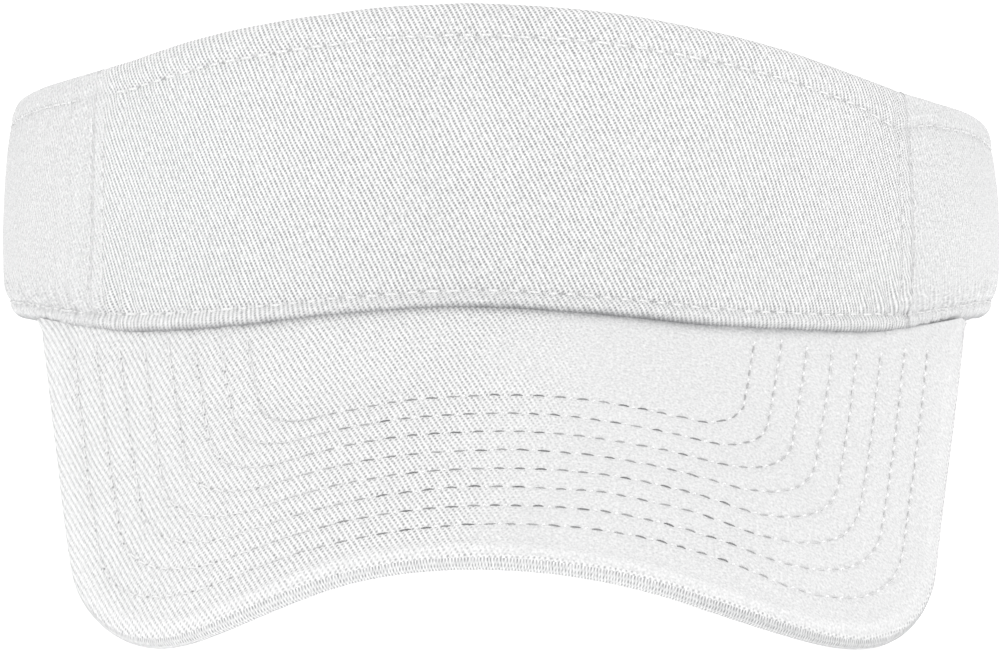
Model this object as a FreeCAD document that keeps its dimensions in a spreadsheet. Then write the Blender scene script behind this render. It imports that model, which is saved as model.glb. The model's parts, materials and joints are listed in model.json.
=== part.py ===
"""Fabric sun visor: a soft crown band, a curved stitched bill and a hook-and-loop closure.

Hat frame used while modelling, in millimetres: X across the head, -Y forward, Z up, with the band's
bottom edge in the plane Z = 0. The wearer's left is +X. Every finished sub-part then gets the same
Placement, which tips the visor nose-up as it lies on a table: the bill's two corners and the rear of
the band touch Z = 0, and the origin is below the middle of the bounding box.

Soft pieces are plain closed solids of their true size. The band's layers are offsets of one ring, so
they meet face to face. A layer's depth is measured inward from the band's outer face, and a layer of
the bill is measured down from the bill's top face.
"""

import FreeCAD, Part
import os
from math import atan2, cos, pi, radians, sin, tan

import Sketcher

V = FreeCAD.Vector
UP = V(0, 0, 1)
START, END, CENTRE = 1, 2, 3
FAR = 260.0  # further than anything in the visor

os.makedirs("parts", exist_ok=True)
doc = FreeCAD.newDocument("sun_visor")

# ------------------------------------------------- driving dimensions (millimetres and degrees)
DIMENSIONS = {
    # the band's ring: two sections, one below the band and one above it
    "ring_low": -14, "ring_high": 62,
    "half_width_low": 88.3, "half_width_high": 87.3,
    "front_low": 91.4, "front_high": 76.6,
    "corner_radius": 55, "back_depth": 95,
    # side seams, which are also the lines the arms flex about
    "seam_x": 68.0, "seam_y": 50.6, "seam_angle": 51.7, "seam_gap": 0.6,
    # top edge of the band, seen from the side
    "edge_front_y": 76, "edge_front_z": 54.7, "edge_front_slope": 19.0,
    "edge_back_z": 30, "edge_back_slope": 5.94, "edge_blend": 120,
    "hem": 12,
    # depths in the band
    "cloth": 0.8, "lining_face": 1.6, "band_depth": 2.4,
    "label_depth": 2.8, "pad_outer": 2.9, "pad_inner": 3.5, "sweat_depth": 4.0,
    # sweatband and label
    "sweat_height": 30, "sweat_angle": 49.5, "pad_angle": 48.5, "sweat_drop": 4.7,
    "label_half": 14, "label_low": 31, "label_high": 41,
    # bill
    "bill_droop": 35, "bill_front_y": 88, "bill_seam_z": 3.5,
    "bill_back": 50, "bill_reach": 80,
    "bill_r_back": 114, "bill_r_seam": 109, "bill_r_reach": 80,
    "bill_cover": 0.8, "bill_board_low": 2.4, "bill_depth": 3.2, "bill_rim": 2.5,
    "bill_length": 68.3, "bill_front_arc": 4000, "bill_corner": 40,
    "bill_half_back": 83.6, "bill_side_angle": 7.4, "bill_tip_y": 34, "bill_play": 2.0,
    # closure
    "tab_low": 3, "tab_high": 27, "tab_round": 8, "tab_root_depth": 3.2,
    "hook_tab_tip": 16, "hook_tab_root": -50, "hook_tape_depth": 2.6,
    "hook_tape_from": -11, "hook_tape_to": 13,
    "left_panel_end": 50, "loop_tab_tip": -30, "loop_step": 52.9, "loop_root_end": 66,
    "loop_tape_face": 2.95, "loop_tab_face": 3.95, "loop_tab_depth": 5.55,
    "loop_tape_from": -27, "loop_tape_to": 48, "tape_low": 5, "tape_high": 25,
    # how it lies on a table
    "rest_pitch": 14.53,
}
sheet = doc.addObject("Spreadsheet::Sheet", "dims")
for row, (alias, value) in enumerate(DIMENSIONS.items(), start=1):
    sheet.set(f"A{row}", alias)
    sheet.set(f"B{row}", str(value))
    sheet.setAlias(f"B{row}", alias)
doc.recompute()


def dim(alias):
    """A driving dimension, read back from the sheet."""
    return float(sheet.get(alias))


# ------------------------------------------------- small helpers
def add(kind, name, **properties):
    """One document object with some properties set."""
    obj = doc.addObject(kind, name)
    for key, value in properties.items():
        setattr(obj, key, value)
    return obj


def bind(obj, **expressions):
    """Ties properties to the sheet. A double underscore in a name stands for a dot."""
    for name, text in expressions.items():
        obj.setExpression(name.replace("__", "."), text)
    return obj


def cut(name, base, *tools):
    """Base with each tool taken away."""
    for count, tool in enumerate(tools, start=1):
        label = name if count == len(tools) else f"{name}_cut{count}"
        base = add("Part::Cut", label, Base=base, Tool=tool)
    return base


def common(name, *shapes):
    """What all the shapes share."""
    return add("Part::MultiCommon", name, Shapes=list(shapes))


def fuse(name, *shapes):
    """The shapes as one solid."""
    return add("Part::MultiFuse", name, Shapes=list(shapes), Refine=True)


def block(name, x, y, z):
    """A box between (low, high) pairs, each end a number or an expression."""
    obj = doc.addObject("Part::Box", name)
    sizes = ("Length", "Width", "Height")
    for axis, size, (low, high) in zip("xyz", sizes, (x, y, z)):
        bind(obj, **{f"Placement__Base__{axis}": f"({low})*1mm", size: f"(({high})-({low}))*1mm"})
    return obj


ALL = (-FAR / 2, FAR / 2)


def sketch(name, angle_about_x=0.0, angle_about_z=0.0):
    """A sketch on a plane through the origin, turned about X and then about Z."""
    obj = doc.addObject("Sketcher::SketchObject", name)
    turn = FreeCAD.Rotation(UP, angle_about_z) * FreeCAD.Rotation(V(1, 0, 0), angle_about_x)
    obj.Placement = FreeCAD.Placement(V(0, 0, 0), turn)
    return obj


def drive(obj, name, expression, *constraint):
    """Adds a dimension to a sketch and ties it to the sheet."""
    index = obj.addConstraint(Sketcher.Constraint(*constraint))
    obj.renameConstraint(index, name)
    obj.setExpression(f"Constraints.{name}", expression)


def chain(obj, kinds):
    """Joins a sketch's edges end to start, all the way round, by the kind given for each joint."""
    for index, kind in enumerate(kinds):
        obj.addConstraint(Sketcher.Constraint(kind, index, END, (index + 1) % len(kinds), START))


def extrude(name, base):
    """A sketch extruded both ways along its own normal, past everything."""
    return add("Part::Extrusion", name, Base=base, DirMode="Normal", Solid=True,
               LengthFwd=FAR / 2, LengthRev=FAR / 2)


# ------------------------------------------------- the ring that every layer of the band follows
def ring_sketch(name, height, half_width, front):
    """Front arc, straight sides, rear corners, and a back arc centred between the flex lines."""
    width, forward = dim(half_width), dim(front)
    corner, centre_y = dim("corner_radius"), dim("seam_y")
    back_radius = dim("back_depth") + centre_y
    reach, inset = back_radius - corner, width - corner
    rise = (reach**2 - inset**2) ** 0.5
    straight_end = rise - centre_y
    arc_y = width - forward
    turn = atan2(rise, inset)
    right_centre, left_centre = V(inset, straight_end, 0), V(-inset, straight_end, 0)
    obj = sketch(name)
    bind(obj, Placement__Base__z=f"dims.{height}*1mm")
    obj.addGeometry([
        Part.ArcOfCircle(Part.Circle(V(0, arc_y, 0), UP, width), pi, 2 * pi),
        Part.LineSegment(V(width, arc_y, 0), V(width, straight_end, 0)),
        Part.ArcOfCircle(Part.Circle(right_centre, UP, corner), 0, turn),
        Part.ArcOfCircle(Part.Circle(V(0, -centre_y, 0), UP, back_radius), turn, pi - turn),
        Part.ArcOfCircle(Part.Circle(left_centre, UP, corner), pi - turn, pi),
        Part.LineSegment(V(-width, straight_end, 0), V(-width, arc_y, 0)),
    ], False)
    chain(obj, ["Tangent"] * 6)
    for arc in (0, 3):
        obj.addConstraint(Sketcher.Constraint("PointOnObject", arc, CENTRE, -2))
    obj.addConstraint(Sketcher.Constraint("Vertical", 1))
    obj.addConstraint(Sketcher.Constraint("Equal", 2, 4))
    drive(obj, "front_radius", f"dims.{half_width}", "Radius", 0, width)
    drive(obj, "rear_corner", "dims.corner_radius", "Radius", 2, corner)
    drive(obj, "back_radius", "dims.back_depth + dims.seam_y", "Radius", 3, back_radius)
    drive(obj, "front_centre", f"dims.{half_width} - dims.{front}",
          "DistanceY", -1, START, 0, CENTRE, arc_y)
    drive(obj, "back_centre", "-dims.seam_y", "DistanceY", -1, START, 3, CENTRE, -centre_y)
    return obj


ring_ends = [ring_sketch("ring_bottom", "ring_low", "half_width_low", "front_low"),
             ring_sketch("ring_top", "ring_high", "half_width_high", "front_high")]
ring_solids = {}


def ring(depth):
    """The solid inside the ring, its wall moved inward by a named depth. "face" is the outer face."""
    if depth not in ring_solids:
        sections = ring_ends
        if depth != "face":
            sections = [bind(add("Part::Offset2D", f"{end.Name}_{depth}", Source=end, Join=0),
                             Value=f"-dims.{depth}*1mm") for end in ring_ends]
        ring_solids[depth] = add("Part::Loft", f"ring_{depth}", Sections=sections, Solid=True, Ruled=True)
    return ring_solids[depth]


def layer(name, outer, inner):
    """The band between two depths."""
    return cut(name, ring(outer), ring(inner))


# ------------------------------------------------- trimming shapes for the band
def below_edge(name, lowered):
    """All that lies under the band's top edge: two straight runs with an arc between, in side view."""
    steep, gentle = radians(dim("edge_front_slope")), radians(dim("edge_back_slope"))
    front, back = -dim("edge_front_y"), dim("back_depth")
    high, low = dim("edge_front_z"), dim("edge_back_z")
    meet = ((high - low) + front * tan(steep) - back * tan(gentle)) / (tan(steep) - tan(gentle))
    meet_z = low + (back - meet) * tan(gentle)
    blend = dim("edge_blend")
    run = blend * tan((steep - gentle) / 2)
    first = V(meet - run * cos(steep), meet_z + run * sin(steep), 0)
    second = V(meet + run * cos(gentle), meet_z - run * sin(gentle), 0)
    arc_centre = V(first.x + blend * sin(steep), first.y + blend * cos(steep), 0)
    near, far, floor = -1.2 * back, 1.2 * back, -0.6 * back
    top_near = high + (front - near) * tan(steep)
    top_far = low - (far - back) * tan(gentle)
    obj = sketch(name + "_profile", 90, 90)
    bind(obj, Placement__Base__z=f"-({lowered})*1mm")
    obj.addGeometry([
        Part.LineSegment(V(near, top_near, 0), first),
        Part.ArcOfCircle(Part.Circle(arc_centre, UP, blend), 1.5 * pi - steep, 1.5 * pi - gentle),
        Part.LineSegment(second, V(far, top_far, 0)),
        Part.LineSegment(V(far, top_far, 0), V(far, floor, 0)),
        Part.LineSegment(V(far, floor, 0), V(near, floor, 0)),
        Part.LineSegment(V(near, floor, 0), V(near, top_near, 0)),
    ], False)
    chain(obj, ["Tangent", "Tangent", "Coincident", "Coincident", "Coincident", "Coincident"])
    for kind, line in (("Vertical", 3), ("Horizontal", 4), ("Vertical", 5)):
        obj.addConstraint(Sketcher.Constraint(kind, line))
    drive(obj, "blend", "dims.edge_blend", "Radius", 1, blend)
    drive(obj, "front_slope", "-dims.edge_front_slope*1deg", "Angle", 0, -steep)
    drive(obj, "back_slope", "-dims.edge_back_slope*1deg", "Angle", 2, -gentle)
    drive(obj, "front_end", "-1.2*dims.back_depth", "DistanceX", -1, START, 0, START, near)
    drive(obj, "back_end", "1.2*dims.back_depth", "DistanceX", -1, START, 2, END, far)
    drive(obj, "floor", "-0.6*dims.back_depth", "DistanceY", -1, START, 4, END, floor)
    drive(obj, "front_height",
          "dims.edge_front_z + (1.2*dims.back_depth - dims.edge_front_y)*tan(dims.edge_front_slope)",
          "DistanceY", -1, START, 0, START, top_near)
    drive(obj, "back_height", "dims.edge_back_z - 0.2*dims.back_depth*tan(dims.edge_back_slope)",
          "DistanceY", -1, START, 2, END, top_far)
    return extrude(name, obj)


SEAM_APEX = "dims.seam_x/tan(dims.seam_angle) - dims.seam_y"
GAP_SHIFT = "dims.seam_gap/sin(dims.seam_angle)"


def wedge(name, angle, apex):
    """A tall wedge opening forward from a point on the Y axis, as wide as twice the named angle."""
    half = radians(dim(angle))
    side = V(FAR * sin(half), -FAR * cos(half), 0)
    other = V(-side.x, side.y, 0)
    obj = sketch(name + "_plan")
    obj.addGeometry([Part.LineSegment(V(0, 0, 0), side), Part.LineSegment(side, other),
                     Part.LineSegment(other, V(0, 0, 0))], False)
    chain(obj, ["Coincident"] * 3)
    obj.addConstraint(Sketcher.Constraint("Coincident", 0, START, -1, START))
    obj.addConstraint(Sketcher.Constraint("Symmetric", 0, END, 1, END, -2))
    obj.addConstraint(Sketcher.Constraint("Distance", 0, FAR))
    drive(obj, "half_angle", f"(dims.{angle} - 90)*1deg", "Angle", 0, half - pi / 2)
    bind(obj, Placement__Base__y=f"({apex})*1mm")
    return extrude(name, obj)


under_edge = below_edge("under_edge", "0")
under_hem_cap = below_edge("under_hem_cap", "dims.cloth")
under_hem_flap = below_edge("under_hem_flap", "dims.hem")
front_wedge = wedge("front_wedge", "seam_angle", f"{SEAM_APEX} - {GAP_SHIFT}")
front_keep_out = wedge("front_keep_out", "seam_angle", f"{SEAM_APEX} + {GAP_SHIFT}")

# ------------------------------------------------- the bill's shape
bill_solids = {}


def below_bill(depth):
    """The solid under a named depth of the bill: three circles that share their top line."""
    if depth not in bill_solids:
        less = {"top": "0", "play": "-dims.bill_play"}.get(depth, f"dims.{depth}")
        circles = []
        for word, along in (("back", "-dims.bill_back"), ("seam", "0"), ("reach", "dims.bill_reach")):
            circle = doc.addObject("Part::Circle", f"bill_{word}_{depth}")
            circle.Placement = FreeCAD.Placement(V(0, 0, 0), FreeCAD.Rotation(V(1, 0, 0), -55))
            bind(circle, Radius=f"(dims.bill_r_{word} - ({less}))*1mm",
                 Placement__Rotation__Angle="(dims.bill_droop - 90)*1deg",
                 Placement__Base__y=f"(-dims.bill_front_y - ({along})*cos(dims.bill_droop)"
                                    f" + dims.bill_r_{word}*sin(dims.bill_droop))*1mm",
                 Placement__Base__z=f"(dims.bill_seam_z - ({along})*sin(dims.bill_droop)"
                                    f" - dims.bill_r_{word}*cos(dims.bill_droop))*1mm")
            circles.append(circle)
        bill_solids[depth] = add("Part::Loft", f"below_bill_{depth}", Sections=circles, Solid=True)
    return bill_solids[depth]


def bill_outline():
    """The bill's outline on its droop plane: a long front arc, two round corners, tapering sides."""
    lean = radians(dim("bill_side_angle"))
    corner, big = dim("bill_corner"), dim("bill_front_arc")
    back_x, back_v = dim("bill_half_back"), -dim("bill_back") - 5
    big_v = dim("bill_length") - big
    side_distance = back_x * cos(lean) + back_v * sin(lean) - corner
    # The corner's centre lies on a line parallel to the side and on a circle about the front arc's centre.
    reach = big - corner
    offset = side_distance - big_v * sin(lean)
    slide = (reach**2 - offset**2) ** 0.5
    x = offset * cos(lean) - slide * sin(lean)
    v = big_v + offset * sin(lean) + slide * cos(lean)
    front_turn = atan2(v - big_v, x)
    right_touch = V(x + corner * cos(lean), v + corner * sin(lean), 0)
    left_touch = V(-right_touch.x, right_touch.y, 0)
    obj = sketch("bill_plan", 180 + dim("bill_droop"))
    bind(obj, Placement__Base__y="-dims.bill_front_y*1mm", Placement__Base__z="dims.bill_seam_z*1mm",
         Placement__Rotation__Angle="(180 + dims.bill_droop)*1deg")
    obj.addGeometry([
        Part.ArcOfCircle(Part.Circle(V(0, big_v, 0), UP, big), front_turn, pi - front_turn),
        Part.ArcOfCircle(Part.Circle(V(-x, v, 0), UP, corner), pi - front_turn, pi - lean),
        Part.LineSegment(left_touch, V(-back_x, back_v, 0)),
        Part.LineSegment(V(-back_x, back_v, 0), V(back_x, back_v, 0)),
        Part.LineSegment(V(back_x, back_v, 0), right_touch),
        Part.ArcOfCircle(Part.Circle(V(x, v, 0), UP, corner), lean, front_turn),
    ], False)
    chain(obj, ["Tangent", "Tangent", "Coincident", "Coincident", "Tangent", "Tangent"])
    obj.addConstraint(Sketcher.Constraint("PointOnObject", 0, CENTRE, -2))
    obj.addConstraint(Sketcher.Constraint("Symmetric", 3, START, 3, END, -2))
    obj.addConstraint(Sketcher.Constraint("Equal", 1, 5))
    drive(obj, "front_arc", "dims.bill_front_arc", "Radius", 0, big)
    drive(obj, "corner", "dims.bill_corner", "Radius", 1, corner)
    drive(obj, "half_back", "dims.bill_half_back", "DistanceX", -1, START, 3, END, back_x)
    drive(obj, "back", "-dims.bill_back - 5", "DistanceY", -1, START, 3, END, back_v)
    drive(obj, "length", "dims.bill_length - dims.bill_front_arc",
          "DistanceY", -1, START, 0, CENTRE, big_v)
    drive(obj, "side_angle", "(90 + dims.bill_side_angle)*1deg", "Angle", 4, pi / 2 + lean)
    return obj


bill_plan = bill_outline()
rim_plan = bind(add("Part::Offset2D", "rim_plan", Source=bill_plan, Join=0), Value="-dims.bill_rim*1mm")
bill_column = extrude("bill_column", bill_plan)
rim_column = extrude("rim_column", rim_plan)
behind_tips = block("behind_tips", ALL, ("-dims.bill_tip_y", FAR / 2), ALL)
bill_front = cut("bill_front", below_bill("top"), behind_tips)


def bill_layer(name, outer, inner, column):
    """One sheet of the bill between two depths, inside an outline and forward of the band's inner face."""
    between = cut(name + "_sheet", below_bill(outer), below_bill(inner))
    return cut(name, common(name + "_shape", between, column), ring("band_depth"), behind_tips)


def bill_pieces():
    """Board, top cover turned down round the rim, and under cover."""
    board = bill_layer("board", "bill_cover", "bill_board_low", rim_column)
    skin = bill_layer("bill_skin", "top", "bill_cover", bill_column)
    rim = cut("bill_rim", bill_layer("bill_middle", "bill_cover", "bill_board_low", bill_column), rim_column)
    under = bill_layer("under_cover", "bill_board_low", "bill_depth", bill_column)
    return {"bill_board": board, "bill_top_cover": fuse("top_cover", skin, rim), "bill_under_cover": under}


# ------------------------------------------------- crown front, sweatband and label
def front_pieces():
    """Twill panel with its turned top hem, the stiffener inside it, and the lining below the hem."""
    def trimmed(name, outer, inner, under):
        shape = common(name + "_shape", layer(name + "_layer", outer, inner), under, front_wedge)
        return cut(name, shape, bill_front)

    backing = trimmed("backing", "cloth", "lining_face", under_hem_cap)
    lining = trimmed("lining", "lining_face", "band_depth", under_hem_flap)
    panel = cut("panel", trimmed("panel_whole", "face", "band_depth", under_edge), backing, lining)
    return {"front_panel": panel, "front_backing": backing, "front_lining": lining}


def sweatband_pieces():
    """Folded sweatband inside the crown front, the padding in its fold, and the label above it."""
    ahead = (-FAR / 2, 0)
    below_fold = block("below_fold", ALL, ahead, (-FAR / 2, "dims.sweat_height"))
    below_pad = block("below_pad", ALL, ahead, (-FAR / 2, "dims.sweat_height - dims.cloth"))
    pad = cut("pad", common("pad_shape", layer("pad_layer", "pad_outer", "pad_inner"), below_pad,
                            wedge("pad_wedge", "pad_angle", SEAM_APEX)), below_bill("sweat_drop"))
    whole = cut("sweat_whole", common("sweat_shape", layer("sweat_layer", "band_depth", "sweat_depth"),
                                      below_fold, wedge("sweat_wedge", "sweat_angle", SEAM_APEX)),
                below_bill("sweat_drop"))
    label_box = block("label_box", ("-dims.label_half", "dims.label_half"), ahead,
                      ("dims.label_low", "dims.label_high"))
    label = common("label", layer("label_layer", "band_depth", "label_depth"), label_box)
    return {"sweatband": cut("sweat", whole, pad), "sweatband_padding": pad, "size_label": label}


# ------------------------------------------------- side panels and closure
def round_window(name, tip, inward, far):
    """A tab seen from behind, as a solid along Y: square at x = far, with round corners at x = tip.

    inward is +1 where the tab runs from its tip toward +X, and -1 where it runs toward -X."""
    low, high, radius = "dims.tab_low", "dims.tab_high", "dims.tab_round"
    shoulder = f"({tip}) + {inward}*{radius}"

    def span(a, b):
        return (a, b) if inward > 0 else (b, a)

    depth = (0, FAR / 2)
    parts = [block(name + "_body", span(shoulder, far), depth, (low, high)),
             block(name + "_nose", span(tip, far), depth, (f"{low} + {radius}", f"{high} - {radius}"))]
    for word, level in (("low", f"{low} + {radius}"), ("high", f"{high} - {radius}")):
        corner = add("Part::Cylinder", f"{name}_{word}", Height=FAR / 2)
        corner.Placement = FreeCAD.Placement(V(0, 0, 0), FreeCAD.Rotation(V(1, 0, 0), -90))
        parts.append(bind(corner, Radius=f"{radius}*1mm", Placement__Base__x=f"({shoulder})*1mm",
                          Placement__Base__z=f"({level})*1mm"))
    return fuse(name, *parts)


bill_play = cut("bill_play", below_bill("play"),
                block("behind_play", ALL, ("-dims.bill_tip_y + 3", FAR / 2), ALL))
behind_hat = block("behind_hat", ALL, (0, FAR / 2), ALL)
left_half = block("left_half", ("dims.left_panel_end", FAR / 2), ALL, (0, FAR / 2))
right_half = block("right_half", (-FAR / 2, "dims.hook_tab_root"), ALL, (0, FAR / 2))
hook_reach = fuse("hook_reach", right_half,
                  round_window("hook_window", "dims.hook_tab_tip", -1, "dims.hook_tab_root - 1"))


def side_pieces():
    """Each side panel and its lining. The right pair runs on past its shoulder as the hook tab."""
    pieces = {}
    for side, reach in (("left", left_half), ("right", hook_reach)):
        for word, outer, inner in (("panel", "face", "cloth"), ("lining", "cloth", "lining_face")):
            name = f"{side}_{word}"
            shape = common(name + "_shape", layer(name + "_layer", outer, inner), under_edge, reach)
            pieces[f"{side}_side_{word}"] = cut(name, shape, front_keep_out, bill_play)
    return pieces


def closure_pieces():
    """The loop tab sewn inside the left panel's end, and the hook and loop tapes."""
    def strip(name, outer, inner, x, z=("dims.tab_low", "dims.tab_high")):
        return common(name, layer(name + "_layer", outer, inner), block(name + "_box", x, (0, FAR / 2), z))

    step_from = "dims.left_panel_end + 0.5"
    root = strip("loop_root", "lining_face", "tab_root_depth", (step_from, "dims.loop_root_end"))
    step = strip("loop_step_wall", "lining_face", "loop_tab_depth", (step_from, "dims.loop_step"))
    run = common("loop_run", layer("loop_run_layer", "loop_tab_face", "loop_tab_depth"),
                 round_window("loop_window", "dims.loop_tab_tip", 1, "dims.loop_step"))
    tape_z = ("dims.tape_low", "dims.tape_high")
    return {
        "loop_tab": fuse("tab", root, step, run),
        "loop_tape": strip("loop_strip", "loop_tape_face", "loop_tab_face",
                           ("dims.loop_tape_from", "dims.loop_tape_to"), tape_z),
        "hook_tape": strip("hook_strip", "lining_face", "hook_tape_depth",
                           ("dims.hook_tape_from", "dims.hook_tape_to"), tape_z),
    }


# ------------------------------------------------- the finished sub-parts, laid on the table
sources = {**front_pieces(), **sweatband_pieces(), **bill_pieces(), **side_pieces(), **closure_pieces()}
whole_space = block("whole_space", (-FAR, FAR), (-FAR, FAR), (-FAR, FAR))
sub_parts = []
for label, source in sources.items():
    sub_part = common(label + "_part", source, whole_space)
    sub_part.Label = label
    sub_parts.append(sub_part)
doc.recompute()

tilt = FreeCAD.Placement(V(0, 0, 0), FreeCAD.Rotation(V(1, 0, 0), -dim("rest_pitch")))
laid = Part.makeCompound([part.Shape.transformGeometry(tilt.toMatrix()) for part in sub_parts])
laid_box = laid.optimalBoundingBox(True, False)
to_origin = V(-laid_box.Center.x, -laid_box.Center.y, -laid_box.ZMin)
for sub_part in sub_parts:
    sub_part.Placement = FreeCAD.Placement(to_origin, tilt.Rotation)
doc.recompute()

for obj in doc.Objects:
    if "Invalid" in obj.State or "Error" in obj.State:
        raise RuntimeError(f"{obj.Name} did not compute: {obj.State}")
for sub_part in sub_parts:
    shape = sub_part.Shape
    if shape.isNull() or not shape.isValid() or len(shape.Solids) != 1:
        raise RuntimeError(f"{sub_part.Label} is not one valid solid")
    shape.exportStep(f"parts/{sub_part.Label}.step")
    box = shape.BoundBox
    print(f"{sub_part.Label:18s} volume {shape.Volume:9.1f}  x {box.XMin:7.2f} {box.XMax:7.2f}"
          f"  y {box.YMin:7.2f} {box.YMax:7.2f}  z {box.ZMin:6.2f} {box.ZMax:6.2f}")
print("hat frame origin in the table frame:", to_origin)
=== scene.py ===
"""Looks of a fabric sun visor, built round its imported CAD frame.

Shapes are worked out in millimetres in the hat's own frame (X across, -Y forward, Z up, the band's
bottom edge near Z = 0) and are put in the table frame, in metres, by to_table(). The band is a function
of a station s along its bottom edge, a height z and a depth d below its outer face. The bill is a
function of a station s across it, a reach v forward of its seam and a depth d below its top face.
"""
import json
import math

import bpy
import numpy as np
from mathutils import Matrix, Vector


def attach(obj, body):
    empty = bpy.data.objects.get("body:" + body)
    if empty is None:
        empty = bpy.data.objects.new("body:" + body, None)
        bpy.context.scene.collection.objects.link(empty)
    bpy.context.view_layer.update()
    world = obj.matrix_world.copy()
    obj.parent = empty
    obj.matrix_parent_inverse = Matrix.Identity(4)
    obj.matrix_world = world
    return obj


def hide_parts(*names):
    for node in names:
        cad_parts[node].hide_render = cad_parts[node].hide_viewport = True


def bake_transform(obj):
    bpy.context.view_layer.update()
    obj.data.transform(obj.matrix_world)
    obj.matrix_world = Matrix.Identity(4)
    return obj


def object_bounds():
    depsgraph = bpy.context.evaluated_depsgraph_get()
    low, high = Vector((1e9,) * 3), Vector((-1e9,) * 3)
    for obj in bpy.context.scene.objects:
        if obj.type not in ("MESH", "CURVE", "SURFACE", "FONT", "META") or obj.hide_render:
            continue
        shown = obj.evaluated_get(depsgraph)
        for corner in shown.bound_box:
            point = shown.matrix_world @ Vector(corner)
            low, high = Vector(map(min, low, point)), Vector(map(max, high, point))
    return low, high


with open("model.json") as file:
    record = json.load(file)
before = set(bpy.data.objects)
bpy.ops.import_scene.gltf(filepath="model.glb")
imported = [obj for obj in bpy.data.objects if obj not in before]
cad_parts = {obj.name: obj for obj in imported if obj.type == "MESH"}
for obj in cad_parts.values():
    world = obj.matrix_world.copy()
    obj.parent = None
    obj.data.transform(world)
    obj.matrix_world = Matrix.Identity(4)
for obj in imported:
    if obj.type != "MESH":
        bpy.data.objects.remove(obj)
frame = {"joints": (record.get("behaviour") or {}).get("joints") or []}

PI = math.pi
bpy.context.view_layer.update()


# ------------------------------------------------------------------ the hat's frame on the table
HINGE = np.array([68.0, -50.6, 20.0])
flex = {j["name"]: j for j in frame["joints"]}["left_flex"]
PITCH = math.atan2(flex["axis"][1], flex["axis"][2])


def turned(p):
    """A hat-frame point tipped nose-up by the pitch at which the visor lies."""
    p = np.asarray(p, float)
    c, s = math.cos(PITCH), math.sin(PITCH)
    return np.stack([p[..., 0], p[..., 1] * c + p[..., 2] * s, -p[..., 1] * s + p[..., 2] * c], -1)


SHIFT = np.array(flex["pos_m"]) * 1000 - turned(HINGE)


def to_table(p):
    """Hat-frame millimetres to table-frame metres."""
    return (turned(p) + SHIFT) / 1000


# ------------------------------------------------------------------ small functions
def smooth(t):
    """0 below 0, 1 above 1, and smooth between."""
    t = np.clip(t, 0, 1)
    return t * t * (3 - 2 * t)


def bell(x, width):
    """A smooth bump of height 1 and the given width."""
    return np.exp(-(np.asarray(x, float) / width) ** 2)


def noise(x, y, seed):
    """Smooth seeded noise from -1 to 1, one cell per unit."""
    x, y = np.broadcast_arrays(np.asarray(x, float), np.asarray(y, float))
    table = np.random.default_rng(seed).uniform(-1, 1, (64, 64))
    ix, iy = np.floor(x).astype(int), np.floor(y).astype(int)
    fx, fy = smooth(x - ix), smooth(y - iy)
    corner = lambda a, b: table[(ix + a) % 64, (iy + b) % 64]
    low = corner(0, 0) * (1 - fx) + corner(1, 0) * fx
    high = corner(0, 1) * (1 - fx) + corner(1, 1) * fx
    return low * (1 - fy) + high * fy


# ------------------------------------------------------------------ the band's ring
CORNER_R, REAR_Y, REAR_R = 55.0, -50.6, 145.6
LOW_SECTION, HIGH_SECTION = (88.3, 91.4), (87.3, 76.6)  # half width and front reach
LOW_Z, HIGH_Z = -14.0, 62.0


def section_facts(half_width, front):
    """Front arc centre, rear corner centre and the angle where the rear arc begins."""
    inset = half_width - CORNER_R
    rise = math.sqrt((REAR_R - CORNER_R) ** 2 - inset**2)
    return half_width - front, inset, rise + REAR_Y, math.atan2(rise, inset)


def _knots():
    """Stations where the ring changes from front arc to side, rear corner and rear arc."""
    share = -LOW_Z / (HIGH_Z - LOW_Z)
    width, front = (lo + (hi - lo) * share for lo, hi in zip(LOW_SECTION, HIGH_SECTION))
    centre, _, rear, turn = section_facts(width, front)
    lengths = np.array([width * PI / 2, rear - centre, CORNER_R * turn, REAR_R * (PI - 2 * turn)])
    return np.concatenate([[0], np.cumsum(lengths)]), lengths, turn


KNOTS, LENGTHS, REAR_TURN = _knots()


def on_section(s, half_width, front):
    """Plan position and outward direction at stations s on one section."""
    centre, inset, rear, turn = section_facts(half_width, front)
    side, a = np.where(s < 0, -1.0, 1.0), np.abs(s)
    k = np.clip(np.searchsorted(KNOTS, a, side="right") - 1, 0, 3)
    f = (a - KNOTS[k]) / LENGTHS[k]
    t1, t3, t4 = f * PI / 2, f * turn, turn + f * (PI - 2 * turn)
    x = np.choose(k, [half_width * np.sin(t1), half_width + 0 * f,
                      inset + CORNER_R * np.cos(t3), REAR_R * np.cos(t4)])
    y = np.choose(k, [centre - half_width * np.cos(t1), centre + f * (rear - centre),
                      rear + CORNER_R * np.sin(t3), REAR_Y + REAR_R * np.sin(t4)])
    nx = np.choose(k, [np.sin(t1), 1 + 0 * f, np.cos(t3), np.cos(t4)])
    ny = np.choose(k, [-np.cos(t1), 0 * f, np.sin(t3), np.sin(t4)])
    return x * side, y, nx * side, ny


def ring(s, z, d):
    """Hat-frame point at station s, height z and depth d inside the band's outer face."""
    s, z, d = np.broadcast_arrays(*(np.asarray(a, float) for a in (s, z, d)))
    xl, yl, nxl, nyl = on_section(s, *LOW_SECTION)
    xh, yh, nxh, nyh = on_section(s, *HIGH_SECTION)
    t = (z - LOW_Z) / (HIGH_Z - LOW_Z)
    x = (xl - d * nxl) * (1 - t) + (xh - d * nxh) * t
    y = (yl - d * nyl) * (1 - t) + (yh - d * nyh) * t
    return np.stack([x, y, z], -1)


def rear_station(x, side):
    """Station of a point x across the rear, counted round from the given side."""
    angle = math.acos(side * x / REAR_R)
    return side * (KNOTS[3] + (angle - REAR_TURN) / (PI - 2 * REAR_TURN) * LENGTHS[3])


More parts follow.
